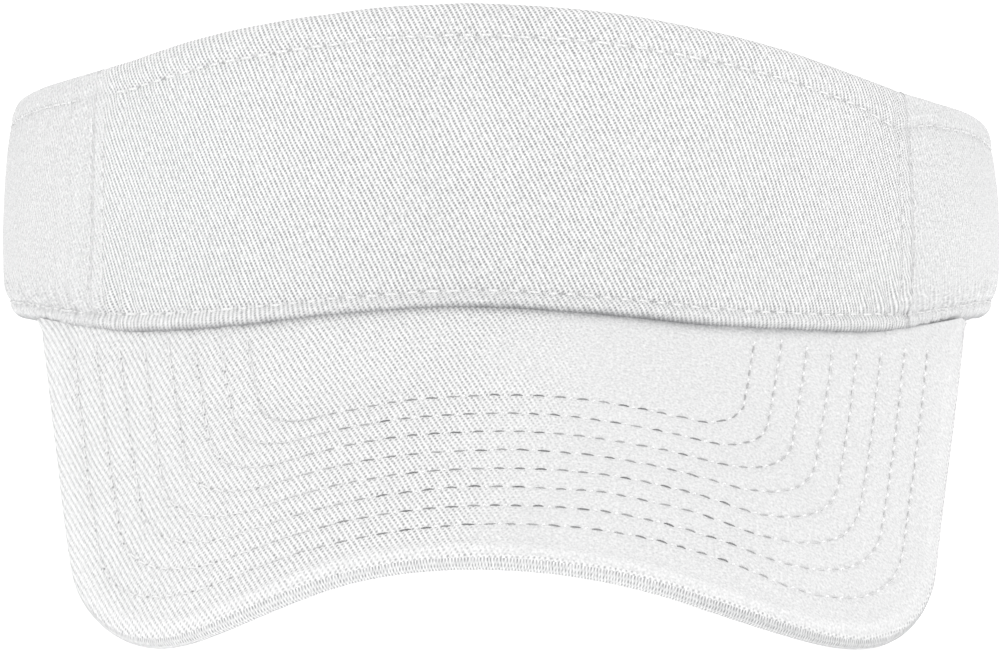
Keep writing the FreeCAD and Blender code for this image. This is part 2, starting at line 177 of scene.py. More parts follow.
SEAM = 81.5                       # station of the side seams
LEFT_END = rear_station(50, 1)    # end of the left panel
TAB_ROOT = rear_station(-50, -1)  # shoulder where the right panel narrows to its tab
TAB_TIP = rear_station(16, -1)    # tip of the right panel's tab


def edge_height(y):
    """Height of the band's top edge over a fore-and-aft position: two slopes and a curve between."""
    steep, gentle, blend = math.radians(19), math.radians(5.94), 120.0
    meet = (54.7 - 30 - 76 * math.tan(steep) - 95 * math.tan(gentle)) / (math.tan(steep) - math.tan(gentle))
    meet_z = 30 + (95 - meet) * math.tan(gentle)
    run = blend * math.tan((steep - gentle) / 2)
    y1, z1 = meet - run * math.cos(steep), meet_z + run * math.sin(steep)
    y2 = meet + run * math.cos(gentle)
    cy, cz = y1 + blend * math.sin(steep), z1 + blend * math.cos(steep)
    arc = cz - np.sqrt(np.maximum(blend**2 - (y - cy) ** 2, 0))
    return np.where(y < y1, 54.7 - (y + 76) * math.tan(steep),
                    np.where(y < y2, arc, 30 + (95 - y) * math.tan(gentle)))


_stations = np.linspace(-330, 330, 1321)
_tops = np.full_like(_stations, 45.0)
for _ in range(8):
    _tops = edge_height(ring(_stations, _tops, 0)[:, 1])
# the edge lies lower to the wearer's left, and is a little uneven along its length
_lower = 1.6 * smooth((_stations - 30) / 60) + 2.1 * smooth((_stations + 6) / 62)
_tops -= _lower * (1 - smooth((_stations - 150) / 60))
_tops += 0.55 * bell(_stations + 17, 17) + 0.36 * bell(_stations + 54, 16)
_tops += 0.25 * noise(_stations / 17, 0.5, 3) + 0.12 * noise(_stations / 6, 0.5, 4)


def shoulder(s):
    """0 on the full-height panel and 1 on the right panel's closure tab."""
    return smooth((TAB_ROOT + 4 - s) / 9)


def tip_drop(s):
    """How much the tab's edges draw in over its last 8 mm, as a round corner."""
    left = np.clip((s - TAB_TIP) / 8.0, 0, 1)
    return 8.0 * (1 - np.sqrt(np.clip(1 - (1 - left) ** 2, 0, 1)))


def top_z(s):
    """Height of the top edge."""
    s = np.asarray(s, float)
    full = np.interp(s, _stations, _tops)
    return full * (1 - shoulder(s)) + 27 * shoulder(s) - tip_drop(s) * (s < 0)


def bottom_z(s):
    """Height of the bottom edge: it dips from the front to the seams and lifts over the bill's tips."""
    a = np.abs(np.asarray(s, float))
    low = 3.5 - 3.8 * smooth(a / 72) + 1.9 * smooth((a - 72) / 45) - 1.5 * smooth((a - 150) / 60)
    low = low + 0.60 * bell(s + 12, 22) - 0.60 * bell(s - 38, 20) + 0.12 * noise(s / 9, 0.5, 8)
    return low * (1 - shoulder(s)) + 3 * shoulder(s) + tip_drop(s) * (s < 0)


def band_height(s):
    """Height of the band from its bottom edge to its top edge."""
    return top_z(s) - bottom_z(s)


def top_row(s):
    """Height of the hem's stitch row. It wanders a little over the wearer's left seam."""
    s = np.asarray(s, float)
    below = 5.4 - 1.3 * smooth((np.abs(s) - 60) / 50) + 1.9 * bell(s - 78, 7) + 0.12 * noise(s / 12, 0.5, 5)
    return top_z(s) - below


def bottom_row(s):
    """Height of the stitch row above the rolled bottom edge."""
    return bottom_z(s) + 3.1 + 0.1 * noise(s / 10, 0.5, 6)


def form(s, z):
    """The cloth's own soft shape, in mm outward: sides that belly and tuck in, and washed unevenness."""
    a = np.abs(s)
    quiet = 1 - smooth((a - 165) / 25)
    side = smooth((a - 66) / 40) * (1 - smooth((a - 150) / 40))
    zb, zt = bottom_z(s), top_z(s)
    h = np.clip((z - zb) / np.maximum(zt - zb, 1), 0, 1)
    out = side * (2.0 * np.sin(PI * h) ** 0.8 - 2.3 * (1 - np.clip((z - zb) / 9, 0, 1)) ** 2)
    out += quiet * (0.42 * noise(s / 24, z / 19, 11) + 0.2 * noise(s / 9 + z / 30, z / 11, 12))
    out += -0.5 * smooth((5 - (zt - z)) / 5) * smooth(1 - a / 200) * 0.6
    return out


def detail(s, z):
    """Fine relief of the outer face, in mm outward: stitch rows, puffed edges, puckers and seams."""
    a = np.abs(s)
    zb, zt = bottom_z(s), top_z(s)
    dt, db = z - top_row(s), z - bottom_row(s)
    wander = 0.9 * noise(s / 5, 0.5, 21)
    out = -0.20 * bell(dt, 0.8) - 0.26 * bell(db, 0.8)
    out += 0.26 * np.sin(PI * np.clip(dt / np.maximum(zt - top_row(s), 1), 0, 1))
    out += 0.55 * np.sin(PI * np.clip((z - zb) / 3.1, 0, 1)) ** 0.8
    near_top, near_low = bell(dt, 3.0), bell(db, 3.0)
    out += 0.10 * np.sin(2 * PI * s / 3.3 + wander) * near_top
    out += 0.10 * np.sin(2 * PI * s / 3.3 + wander + 1) * near_low
    gathered = smooth((a - 62) / 18) * (1 - smooth((a - 128) / 16))
    low_pucker = np.sin(2 * PI * (s + 0.5 * z) / 4.4 + 2.5 * noise(s / 8, z / 9, 22))
    top_pucker = np.sin(2 * PI * (s - 0.7 * z) / 6.1 + 2 * noise(s / 11, z / 9, 23))
    out += 0.52 * gathered * low_pucker * bell(db - 1.2, 3.4)
    out += 0.14 * gathered * top_pucker * bell(dt + 2, 4)
    across = a - SEAM
    out += -0.05 * bell(across, 0.6) - 0.12 * bell(across + 2.6, 0.6) - 0.12 * bell(across - 0.9, 0.6)
    out += 0.14 * bell(across + 4.6, 1.6)
    out += 0.12 * np.sin(2 * PI * z / 3.9 + 2 * noise(s / 6, z / 7, 24)) * bell(across, 3.6)
    return out


def wall_point(s, z, d, fine=0.0):
    """A point of the band with its soft shape, and its fine relief where fine is 1."""
    out = form(s, z)
    if np.any(fine):
        out = out + fine * detail(s, z)
    return ring(s, z, d - out)


# ------------------------------------------------------------------ the bill
DROOP = math.radians(35)
BILL_Y, BILL_Z = -88, 3.5  # where the bill's top meets the middle of the crown
# the outline: reach of its front edge, the radii of that edge and of the corners, the half width 55 mm behind
# the seam, the sides' lean in degrees and the tips' reach
OUTLINE_FRONT, FRONT_ARC, CORNER = 67.5, 4000.0, 43.0
HALF_BACK, SIDE_LEAN, TIP_REACH = 83.6, 7.4, -42.0
# the stitch rows: the first one's distance from the edge, their pitch at the front and at the sides, and the
# first one's reach at the front and its station and lean at the sides
FIRST_ROW, ROW_PITCH, SIDE_PITCH = 9.3, 4.97, 4.8
ROW_FRONT, ROW_SIDE, ROW_LEAN = 67.5, 77.0, 0.134
# the arc of the crown's front where the bill is sewn on
CROWN_R = 88.1
CROWN_CENTRE = section_facts(CROWN_R, 88.7)[0]


def bill_radius(v):
    """Radius of the bill's cross-section: flatter at the crown and tighter at the front."""
    return 109 - 0.20096 * v - 0.002019 * v**2


def plain_bill(s, v, d):
    """Hat-frame point of the bill before it is fitted to the crown's edge."""
    r = bill_radius(v)
    phi = s / r
    drop = r - (r - d) * np.cos(phi)
    return np.stack([(r - d) * np.sin(phi), BILL_Y - v * math.cos(DROOP) + drop * math.sin(DROOP),
                     BILL_Z - v * math.sin(DROOP) - drop * math.cos(DROOP)], -1)


def reach_at(x, y):
    """Reach v of the bill's surface over a plan position."""
    v = np.zeros_like(x)
    for _ in range(12):
        r = bill_radius(v)
        drop = r - np.sqrt(np.maximum(r * r - x * x, 1))
        v = (BILL_Y - y + drop * math.sin(DROOP)) / math.cos(DROOP)
    return v


def across_at(x, v):
    """Station s across the bill for a position x and reach v."""
    r = bill_radius(v)
    return r * np.arcsin(np.clip(x / r, -1, 1))


_crown_s = np.linspace(-125, 125, 251)
_edge = ring(_crown_s, bottom_z(_crown_s), 0.0)
_edge_v = reach_at(_edge[:, 0], _edge[:, 1])
_lift = bottom_z(_crown_s) + 0.25 - plain_bill(across_at(_edge[:, 0], _edge_v), _edge_v, 0.0)[:, 2]
_lift[np.abs(_crown_s) > 108] = np.interp(108, _crown_s, _lift)


def bill_point(s, v, d, relief=0.0):
    """Hat-frame point of the bill at depth d, raised by relief. It meets the crown's bottom edge."""
    s, v, d, relief = np.broadcast_arrays(*(np.asarray(a, float) for a in (s, v, d, relief)))
    p = plain_bill(s, v, d - relief)
    x, y = p[..., 0], p[..., 1]
    station = CROWN_R * np.arctan2(x, -(y - CROWN_CENTRE))
    away = np.hypot(x, y - CROWN_CENTRE) - CROWN_R
    p = p.copy()
    p[..., 2] += np.interp(station, _crown_s, _lift) * bell(np.maximum(away, 0), 11)
    return p


def outline():
    """The bill's outline as stations and reaches, from tip to tip, evenly spaced."""
    lean, corner, big = math.radians(SIDE_LEAN), CORNER, FRONT_ARC
    big_v = OUTLINE_FRONT - big
    offset = HALF_BACK * math.cos(lean) - 55 * math.sin(lean) - corner - big_v * math.sin(lean)
    slide = math.sqrt((big - corner) ** 2 - offset**2)
    cx = offset * math.cos(lean) - slide * math.sin(lean)
    cv = big_v + offset * math.sin(lean) + slide * math.cos(lean)
    turn = math.atan2(cv - big_v, cx)
    side = np.array([[HALF_BACK - (v + 55) * math.tan(lean), v]
                     for v in np.linspace(TIP_REACH, cv + corner * math.sin(lean), 80)])
    angles = np.linspace(lean, turn, 60)[1:]
    round_ = np.stack([cx + corner * np.cos(angles), cv + corner * np.sin(angles)], 1)
    sweep = np.linspace(turn, PI / 2, 60)[1:]
    front = np.stack([big * np.cos(sweep), big_v + big * np.sin(sweep)], 1)
    half = np.concatenate([side, round_, front])
    half[:, 0] = across_at(half[:, 0], half[:, 1])
    whole = np.concatenate([half * [-1, 1], half[-2::-1]])
    s, v = whole[:, 0], whole[:, 1]
    ahead = smooth((v - 20) / 35)
    # the front edge reaches further at its corners, and a little further left of the middle than right of it
    longer = 1.4 * (bell(s - 30, 24) - bell(s + 30, 24)) + 4.2 * bell(s - 66, 24) + 5.5 * bell(s + 62, 23)
    v = v + ahead * longer
    s = s + 0.55 + ahead * 0.9 * bell(s + 75, 14)
    return resampled(np.stack([s, v], 1), 620)


def resampled(points, count):
    """Points evenly spaced along a polyline."""
    steps = np.linalg.norm(np.diff(points, axis=0), axis=1)
    along = np.concatenate([[0], np.cumsum(steps)])
    at = np.linspace(0, along[-1], count)
    return np.stack([np.interp(at, along, points[:, k]) for k in range(points.shape[1])], 1)


def corner_radius(offset):
    """Corner radius of the stitch row that lies that far in from the bill's edge."""
    return np.maximum(29.3 - 0.463 * offset, 4)


def row_field(s, v):
    """Which offset line of the bill a point lies on, in mm in from the edge: the stitch rows follow it."""
    a = np.abs(s)
    ds = FIRST_ROW + (ROW_SIDE - ROW_LEAN * v - a) * (ROW_PITCH / SIDE_PITCH)
    df = ROW_FRONT - v
    low, high = np.minimum(ds, df) - 30, np.minimum(ds, df)
    for _ in range(26):
        mid = (low + high) / 2
        r = corner_radius(mid)
        value = np.maximum(r + mid - ds, 0) ** 2 + np.maximum(r + mid - df, 0) ** 2 - r * r
        inside = value <= 0
        low, high = np.where(inside, mid, low), np.where(inside, high, mid)
    return low


def row_path(offset):
    """One stitch row of the bill as stations and reaches, from the crown round to the crown."""
    r = float(corner_radius(offset))
    far = ROW_FRONT + 45
    legs = np.array([[offset, y] for y in np.linspace(far, r + offset, 60)])
    angle = np.linspace(PI, 1.5 * PI, 40)[1:]
    corner = np.stack([r + offset + r * np.cos(angle), r + offset + r * np.sin(angle)], 1)
    half = np.concatenate([legs, corner])
    v = ROW_FRONT - half[:, 1]
    s = ROW_SIDE - ROW_LEAN * v - (half[:, 0] - FIRST_ROW) * (SIDE_PITCH / ROW_PITCH)
    half = np.stack([s, v], 1)
    middle = np.stack([np.linspace(half[-1, 0], 0, 40)[1:], np.full(39, half[-1, 1])], 1)
    half = np.concatenate([half, middle])
    whole = np.concatenate([half * [-1, 1], half[-2::-1]])
    p = bill_point(whole[:, 0], whole[:, 1], 0.0)
    clear = np.hypot(p[:, 0], p[:, 1] - CROWN_CENTRE) > CROWN_R + 0.9
    return resampled(whole[clear & (p[:, 1] < -30)], 900)


ROWS = [FIRST_ROW + ROW_PITCH * k for k in range(8)]


def bill_relief(s, v, e=30.0):
    """Relief of the bill's top, in mm: quilting between the rows, a ridge inside the rim, soft unevenness.

    e is the distance from the edge."""
    f = row_field(s, v)
    out = (0.28 * bell(e - 3.2, 1.1) - 0.10 * bell(e - 1.7, 0.5)) * (0.15 + 0.85 * smooth((v - 25) / 25))
    phase = (f - FIRST_ROW) / ROW_PITCH
    inside = smooth((f - 6.5) / 2) * (1 - smooth((f - ROWS[-1] - 2) / 3))
    out = out - 0.11 * inside * bell((phase - np.round(phase)) * ROW_PITCH, 0.8)
    out = out + 0.05 * inside * np.sin(2 * PI * (s + v) / 3.6 + 2.2 * noise(s / 7, v / 7, 31)) * \
        bell((phase - np.round(phase)) * ROW_PITCH, 2.0)
    out = out + 0.26 * noise(s / 21, v / 17, 32) + 0.12 * noise(s / 8, v / 8, 33)
    return out


# ------------------------------------------------------------------ mesh making
def mesh_object(name, points, faces, uv=None, shade=None, flat=None):
    """An object in the table frame from hat-frame points. uv holds one pair per face corner, in mm.

    shade is painted shade that darkens the cloth at each point, and lightens it where negative. flat weakens
    the weave's relief and its painted weave shade there, where the twill shows faint under the light."""
    mesh = bpy.data.meshes.new(name)
    mesh.from_pydata(to_table(points).tolist(), [], faces)
    if uv is not None:
        mesh.uv_layers.new(name="weave").data.foreach_set("uv", np.asarray(uv, np.float32).ravel())
    for attribute, values in (("shade", shade), ("flat", flat)):
        if values is not None:
            layer = mesh.attributes.new(attribute, "FLOAT", "POINT")
            layer.data.foreach_set("value", np.asarray(values, np.float32).ravel())
    mesh.polygons.foreach_set("use_smooth", [True] * len(mesh.polygons))
    mesh.update()
    obj = bpy.data.objects.new(name, mesh)
    bpy.context.scene.collection.objects.link(obj)
    return obj


def swept(name, points, u, shade=None, v_start=None, flat=None):
    """A closed solid from points[i, q]: section i is a closed loop over q, and both ends are capped.

    u[i] is the distance along the sweep. The cloth's other coordinate is measured round each loop."""
    n, m = points.shape[:2]
    step = np.linalg.norm(np.diff(np.concatenate([points, points[:, :1]], 1), axis=1), axis=2)
    start = np.zeros(n) if v_start is None else v_start
    v = start[:, None] + np.concatenate([np.zeros((n, 1)), np.cumsum(step, 1)], 1)
    i, q = np.meshgrid(np.arange(n - 1), np.arange(m), indexing="ij")
    i, q = i.ravel(), q.ravel()
    q2 = (q + 1) % m
    quads = np.stack([i * m + q, (i + 1) * m + q, (i + 1) * m + q2, i * m + q2], 1)
    uu = np.broadcast_to(u[:, None], v.shape) if u.ndim == 1 else np.concatenate([u, u[:, :1]], 1)
    around = ((i, q), (i + 1, q), (i + 1, q + 1), (i, q + 1))
    uv = np.stack([np.stack([uu[a, b], v[a, b]], 1) for a, b in around], 1)
    p = points.reshape(-1, 3)
    a, b, c = p[quads[:, 0]], p[quads[:, 1]], p[quads[:, 2]]
    d = p[quads[:, 3]]
    volume = (np.cross(a, b) * c).sum() + (np.cross(a, c) * d).sum()
    if volume < 0:
        quads, uv = quads[:, ::-1], uv[:, ::-1]
    faces = quads.tolist()
    first, last = list(range(m)), list(range((n - 1) * m, n * m))
    if volume >= 0:
        first.reverse()
    else:
        last.reverse()
    for loop in (first, last):
        for k in range(1, m // 2):
            a0, b0 = loop[k - 1], loop[k]
            c0, d0 = loop[m - k - 1], loop[m - k]
            if k < m // 2:
                faces.append([a0, b0, c0, d0] if len({a0, b0, c0, d0}) == 4 else [a0, b0, c0])
    corners = sum(len(f) for f in faces[len(quads):])
    uv = np.concatenate([uv.reshape(-1, 2), np.zeros((corners, 2))])
    return mesh_object(name, points.reshape(-1, 3), faces, uv, shade, flat)


def capsule(p, normals, radius, height, lean):
    """Rings of points round a short bent length of thread, raised by height along the normals."""
    nrm = normals / np.linalg.norm(normals, axis=1)[:, None]
    tangent = np.gradient(p, axis=0)
    tangent /= np.linalg.norm(tangent, axis=1)[:, None]
    side = np.cross(tangent, nrm)
    side /= np.linalg.norm(side, axis=1)[:, None]
    p = p + nrm * height[:, None] + side * lean[:, None]
    width = radius * np.array([0.35, 0.85, 1.0, 1.04, 1.0, 0.85, 0.35])
    around = np.arange(6) * PI / 3
    return p[:, None] + (np.cos(around)[None, :, None] * side[:, None]
                         + 0.85 * np.sin(around)[None, :, None] * nrm[:, None]) * width[:, None, None]


def thread(name, runs, tones=lambda p: (0.06, 0.66), radius=0.21, share=0.72, dip=0.40, rise=0.15, seed=1):
    """Sewing thread: a small capsule for each stitch, dipping into the cloth at both ends, and a shorter one
    in the gap where the needle went down.

    runs is a list of (points, normals, stitch length). tones gives the painted shade of a stitch and of its
    gap
    there: dark tones are painted shadows of thread pressed into the cloth and of needle holes.
    share is the stitch's part of that length. The cloth coordinate v runs 0 to 6 round the thread."""
    rng = np.random.default_rng(seed)
    t = np.linspace(-1, 1, 7)
    all_points, all_faces, all_uv, all_tones = [], [], [], []
    base = 0
    for points, normals, pitch in runs:
        steps = np.linalg.norm(np.diff(points, axis=0), axis=1)
        along = np.concatenate([[0], np.cumsum(steps)])
        at = rng.uniform(0.2, 0.8) * pitch
        while at + 1.3 * pitch < along[-1]:
            own = pitch * rng.uniform(0.90, 1.10)
            half = own * share / 2 * rng.uniform(0.86, 1.06)
            lean = rng.uniform(-0.07, 0.07) + rng.uniform(-0.10, 0.10) * t
            dash, gap = tones(np.array([np.interp(at, along, points[:, k]) for k in range(3)]))
            wide = radius * rng.uniform(0.90, 1.08) * (1.3 - 0.3 * dash)
            dash, gap = dash * rng.uniform(0.70, 1.15), gap * rng.uniform(0.35, 1.15)
            dash_height = rise - (rise + dip) * np.abs(t) ** 3.2
            gap_height = 0.13 - 0.08 * gap - 0.3 * np.abs(t) ** 3
            pieces = ((at + own / 2, half, wide, dash_height, lean, dash),
                      (at + own, 0.38, wide * (1.5 - 0.5 * gap), gap_height, 0 * t, gap))
            for middle, reach, size, height, slant, tone in pieces:
                where = middle + t * reach
                p = np.stack([np.interp(where, along, points[:, k]) for k in range(3)], 1)
                nrm = np.stack([np.interp(where, along, normals[:, k]) for k in range(3)], 1)
                all_points.append(capsule(p, nrm, size, height, slant).reshape(-1, 3))
                # each piece's painted shade, kept as the shade attribute
                all_tones += [tone] * 42
                for i in range(6):
                    for q in range(6):
                        q2 = (q + 1) % 6
                        all_faces.append([base + i * 6 + q, base + (i + 1) * 6 + q,
                                          base + (i + 1) * 6 + q2, base + i * 6 + q2])
                        u0, u1 = where[i], where[i + 1]
                        all_uv += [(u0, q), (u1, q), (u1, q + 1), (u0, q + 1)]
                all_faces.append([base + q for q in range(6)])
                all_faces.append([base + 36 + q for q in range(6)][::-1])
                all_uv += [(where[0], 0)] * 6 + [(where[-1], 0)] * 6
                base += 42
            at += own
    return mesh_object(name, np.concatenate(all_points), all_faces, all_uv, shade=all_tones)


def wall_run(s, z, pitch, outward=True, d=0.0, fine=1.0):
    """A stitch run on the band, as points, normals and pitch."""
    e = 0.4
    p = wall_point(s, z, d, fine)
    ps = wall_point(s + e, z, d, 0.0) - wall_point(s - e, z, d, 0.0)
    pz = wall_point(s, z + e, d, 0.0) - wall_point(s, z - e, d, 0.0)
    nrm = np.cross(ps, pz)
    nrm /= np.linalg.norm(nrm, axis=1)[:, None]
    return p, nrm if outward else -nrm, pitch


def bill_run(path, pitch, under=False):
    """A stitch run on the bill's top or underside."""
    s, v = path[:, 0], path[:, 1]
    e = 0.4
    p = bill_point(s, v, 3.25 + 0.2, 0.0) if under else bill_point(s, v, 0.0, bill_relief(s, v))
    ps = bill_point(s + e, v, 0.0) - bill_point(s - e, v, 0.0)
    pv = bill_point(s, v + e, 0.0) - bill_point(s, v - e, 0.0)
    nrm = np.cross(pv, ps)
    nrm /= np.linalg.norm(nrm, axis=1)[:, None]
    nrm = nrm * np.where(nrm[:, 2:] < 0, -1, 1)
    return p, -nrm if under else nrm, pitch


def strip_loops(outer, inner):
    """Closed sections from the two faces of a strip, each an array of (section, point)."""
    return np.concatenate([outer, inner[:, ::-1]], 1)


def spread(count, low_part, high_part, low_count, high_count):
    """Shares from 0 to 1 with low_count steps in the low part and high_count in the high part."""
    middle = count - low_count - high_count
    return np.concatenate([np.linspace(0, low_part, low_count, endpoint=False),
                           np.linspace(low_part, 1 - high_part, middle, endpoint=False),
                           np.linspace(1 - high_part, 1, high_count + 1)])


def across_grain(s, z):
    """The cloth's coordinate across, in mm: tighter and steeper to the wearer's left, upright in the rolled
    edge away from the middle."""
    left = np.clip(s - 8, 0, SEAM - 8)
    rolled = np.clip(bottom_row(s) + 0.4 - z, 0, 4)
    return s + 0.0015 * left**2 - 0.0016 * left * z + 0.45 * rolled * smooth((np.abs(s) - 15) / 40)


def panel(name, at, hem_low, deep_low, deep_top, rows=72, cloth=0.72):
    """An outer panel: one ply folded under at its bottom edge and over at its top edge.

    hem_low is the bottom hem's height, and the two depths say how far in the hems lie."""
    s = at[:, None]
    zb, zt = bottom_z(s), top_z(s)
    height = zt - zb
    hem_low, hem_top = np.minimum(hem_low, 0.3 * height), np.minimum(HEM, 0.45 * height)
    rl, rt = deep_low / 2, deep_top / 2
    one = np.ones_like(s)
    turn_low, turn_top = np.linspace(0, PI, 8)[None], np.linspace(0, PI, 10)[None]
    face = spread(rows, 0.14, 0.17, 13, 15)[None, 1:-1]
    low = np.linspace(0, 1, 8, endpoint=False)[None]
    top = np.linspace(0, 1, 13)[None, 1:]

    def side(inner):
        gap = cloth if inner else 0.0
        parts = [
            (zb + hem_low * (1 - low) + rl * low, (deep_low - gap) * one + 0 * low, 0 * low),
            (zb + rl - (rl - gap) * np.sin(turn_low), rl + (rl - gap) * np.cos(turn_low) + 0 * s,
             0.5 - 0.5 * np.cos(turn_low)),
            (zb + rl + (height - rl - rt) * face, gap * one + 0 * face, 1 + 0 * face),
            (zt - rt + (rt - gap) * np.sin(turn_top), rt - (rt - gap) * np.cos(turn_top) + 0 * s,
             0.5 + 0.5 * np.cos(turn_top)),
            (zt - rt - (hem_top - rt) * top, (deep_top - gap) * one + 0 * top, 0 * top)]
        z = np.concatenate([p[0] for p in parts], 1)
        d = np.concatenate([p[1] for p in parts], 1)
        fine = np.concatenate([np.broadcast_to(p[2], p[0].shape) for p in parts], 1)
        return z, d, fine * (0 if inner else 1)

    za, da, fine = side(False)
    zi, di, _ = side(True)
    points = strip_loops(wall_point(s, za, da, fine), wall_point(s, zi, di, 0.0))
    z = strip_loops(za, zi)
    count = za.shape[1]
    # painted shade for the cloth's colour, kept as the shade attribute: it darkens where positive and
    # lightens where negative
    painted_shade = np.zeros_like(z)
    # painted shade in the grooves of the top and bottom stitch rows, and lighter along the top fold
    painted_shade[:, :count] = fine * (0.35 * bell(za - top_row(s), 0.5) + 0.45 * bell(za - bottom_row(s), 0.5)
                              - 0.5 * bell(za - zt, 1.0))
    # a painted shadow along the bottom edge, where the rolled edge overhangs the bill
    painted_shade[:, :count] += (3.2 + 1.2 * noise(s / 1.3, 0.5, 44)) * bell(za - zb, 0.85) * (da < rl + 0.3)
    rolled = smooth((bottom_row(s) + 0.3 - z) / 0.8)
    near_seam = smooth((np.abs(s) - SEAM + 4.2) / 3.0) * (np.abs(s) <= SEAM) * np.where(s < 0, 1, 0.4)
    # painted shade: a broad darkening across the middle of the front
    painted_shade[:, :count] += fine * 0.26 * bell(s, 38) * (np.abs(s) <= SEAM)
    # flat weakens the weave's relief and its painted weave shade on the rolled edge and beside the seams,
    # where the twill shows faint under the light
    flat = np.maximum(0.22 * rolled, 0.60 * near_seam) + 0 * z
    return swept(name, points, across_grain(s, z), shade=painted_shade.ravel(), v_start=2 * zb[:, 0] - za[:, 0],
                 flat=flat.ravel())


def slab(name, at, z_low, z_top, d_out, d_in, rows, puff=0.0, rough=0.0, seed=50):
    """A flat closed piece of the band between two heights and two depths, with rounded long edges.

    puff swells its inner face, and rough makes that face uneven."""
    s = at[:, None]
    zb, zt = z_low(s), z_top(s)
    h = np.concatenate([[0, 0.003, 0.012], np.linspace(0.03, 0.97, rows), [0.988, 0.997, 1]])[None]
    z = zb + (zt - zb) * h
    half = (d_in - d_out) / 2
    edge = np.minimum(z - zb, zt - z)
    thick = half * np.sqrt(np.clip(1 - (1 - np.clip(edge / np.abs(half), 0, 1)) ** 2, 0.02, 1))
    mid = (d_in + d_out) / 2
    swell = puff * np.sin(PI * h) ** 0.75 + rough * noise(s / 4, z / 4, seed)
    swell = swell + 0.5 * rough * noise(s / 1.7, z / 1.7, seed)
    outer = wall_point(s, z, mid - thick, 0.0)
    inner = wall_point(s, z, mid + thick + swell, 0.0)
    return swept(name, strip_loops(outer, inner), at)


def stations(a, b, step):
    """Evenly spaced stations from a to b."""
    return np.linspace(a, b, int(round(abs(b - a) / step)) + 1)


HEM = 12.0  # height of the top hem
FRONT_FOLDS = {"hem_low": 8, "deep_low": 1.5, "deep_top": 2.35}
SIDE_FOLDS = {"hem_low": 5, "deep_low": 1.5, "deep_top": 1.55}
BACKING_END, LINING_END = 79, 80.6  # stations where the front's stiffener and lining end

front_panel = panel("front_panel_cloth", stations(-SEAM, SEAM, 0.7), **FRONT_FOLDS)
left_panel = panel("left_side_panel_cloth", stations(SEAM, LEFT_END, 0.72), **SIDE_FOLDS)
right_panel = panel("right_side_panel_cloth", stations(TAB_TIP, -SEAM, 0.72), **SIDE_FOLDS)


def under_hem(s):
    """Upper edge of a lining, just under the top hem."""
    return top_z(s) - HEM - 0.3


front_backing = slab("front_backing_ply", stations(-BACKING_END, BACKING_END, 2),
                     lambda s: bottom_z(s) + 8.5, lambda s: top_z(s) - 1.9, d_out=0.85, d_in=1.5, rows=16)
front_lining = slab("front_lining_cloth", stations(-LINING_END, LINING_END, 1.3),
                    lambda s: bottom_z(s) + 1.0, under_hem, d_out=1.62, d_in=2.3, rows=26, rough=0.05)
left_lining = slab("left_side_lining_cloth", stations(SEAM + 0.5, LEFT_END - 2, 1.3),
                   lambda s: bottom_z(s) + 5.3, under_hem, d_out=0.8, d_in=1.5, rows=22, rough=0.05)


def tab_low(s):
    """Lower edge of the right lining, which narrows with the panel."""
    return bottom_z(s) + np.minimum(5.3, 0.32 * band_height(s))


def tab_high(s):
    """Upper edge of the right lining."""
    return top_z(s) - np.minimum(HEM + 0.3, 0.47 * band_height(s))


right_lining = slab("right_side_lining_cloth", stations(TAB_TIP + 2, -SEAM - 0.5, 1.3),
                    tab_low, tab_high, d_out=0.8, d_in=1.5, rows=22, rough=0.05)

# ------------------------------------------------------------------ sweatband, padding and label
BAND_END = 78.5


def sweat_low(s):
    """Lower edge of the sweatband."""
    return bottom_z(s) + 0.5


def sweat_top(s):
    """Upper edge of the sweatband: it falls a little towards its ends."""
    return 30 - 4.7 * (np.abs(s) / BAND_END) ** 2


def puffed(s, z):
    """How far the padding pushes the sweatband inwards."""
    low, top = sweat_low(s), sweat_top(s)
    h = np.clip((z - low - 1) / (top - low - 3), 0, 1)
    ends = smooth((BAND_END - np.abs(s)) / 7)
    soft = 1 + 0.35 * noise(s / 9, z / 9, 61) + 0.2 * noise(s / 3.5, z / 5, 62)
    return 1.0 * ends * np.sin(PI * h) ** 0.7 * soft


def sweatband_mesh():
    """The sweatband: one cloth folded over the padding, with both plies caught in the bottom seam."""
    at = stations(-BAND_END, BAND_END, 0.9)
    s = at[:, None]
    low, top = sweat_low(s), sweat_top(s)
    up = np.linspace(0, 1, 14)[None]
    down = np.linspace(1, 0, 44)[None]
    turn = np.linspace(0, PI, 9)[None, 1:-1]
    ply, near, far = 0.42, 2.42, 3.95
    radius = (far - near) / 2

    def side(inner):
        gap = ply if inner else 0.0
        z = np.concatenate([low + (top - radius - low) * up, top - radius + (radius - gap) * np.sin(turn),
                            low + (top - radius - low) * down], 1)
        back = near + gap + 0 * (s + up)
        over = (near + far) / 2 - (radius - gap) * np.cos(turn) + 0 * s
        face = far - gap + 0 * (s + down)
        face = face + puffed(s, z[:, -44:])
        return z, np.concatenate([back, over, face], 1)

    za, da = side(False)
    zi, di = side(True)
    points = strip_loops(wall_point(s, za, da, 0.0), wall_point(s, zi, di, 0.0))
    return swept("sweatband_cloth", points, at)


sweatband = sweatband_mesh()
padding = slab("sweatband_padding_foam", stations(-75, 75, 1.4), lambda s: sweat_low(s) + 3.2,
               lambda s: sweat_top(s) - 3.0, d_out=2.95, d_in=3.45, rows=20, puff=0.55, rough=0.04)
label = slab("size_label_cloth", stations(-14, 14, 0.7), lambda s: 31 + 0.15 * noise(s / 8, 0.5, 71),
             lambda s: 41 + 0.15 * noise(s / 8, 0.5, 72), d_out=2.4, d_in=2.8, rows=14, rough=0.05)

# ------------------------------------------------------------------ the closure at the back
LOOP_TIP = rear_station(-30, 1)
LOOP_ROOT = KNOTS[3] - 6
STEP_AT = rear_station(51, 1)


def loop_depth(s):
    """Depth of the loop tab's outer face: against the left panel at its root, behind the outer tab further
    on."""
    return 1.75 + 2.25 * smooth((s - STEP_AT + 5) / 10)


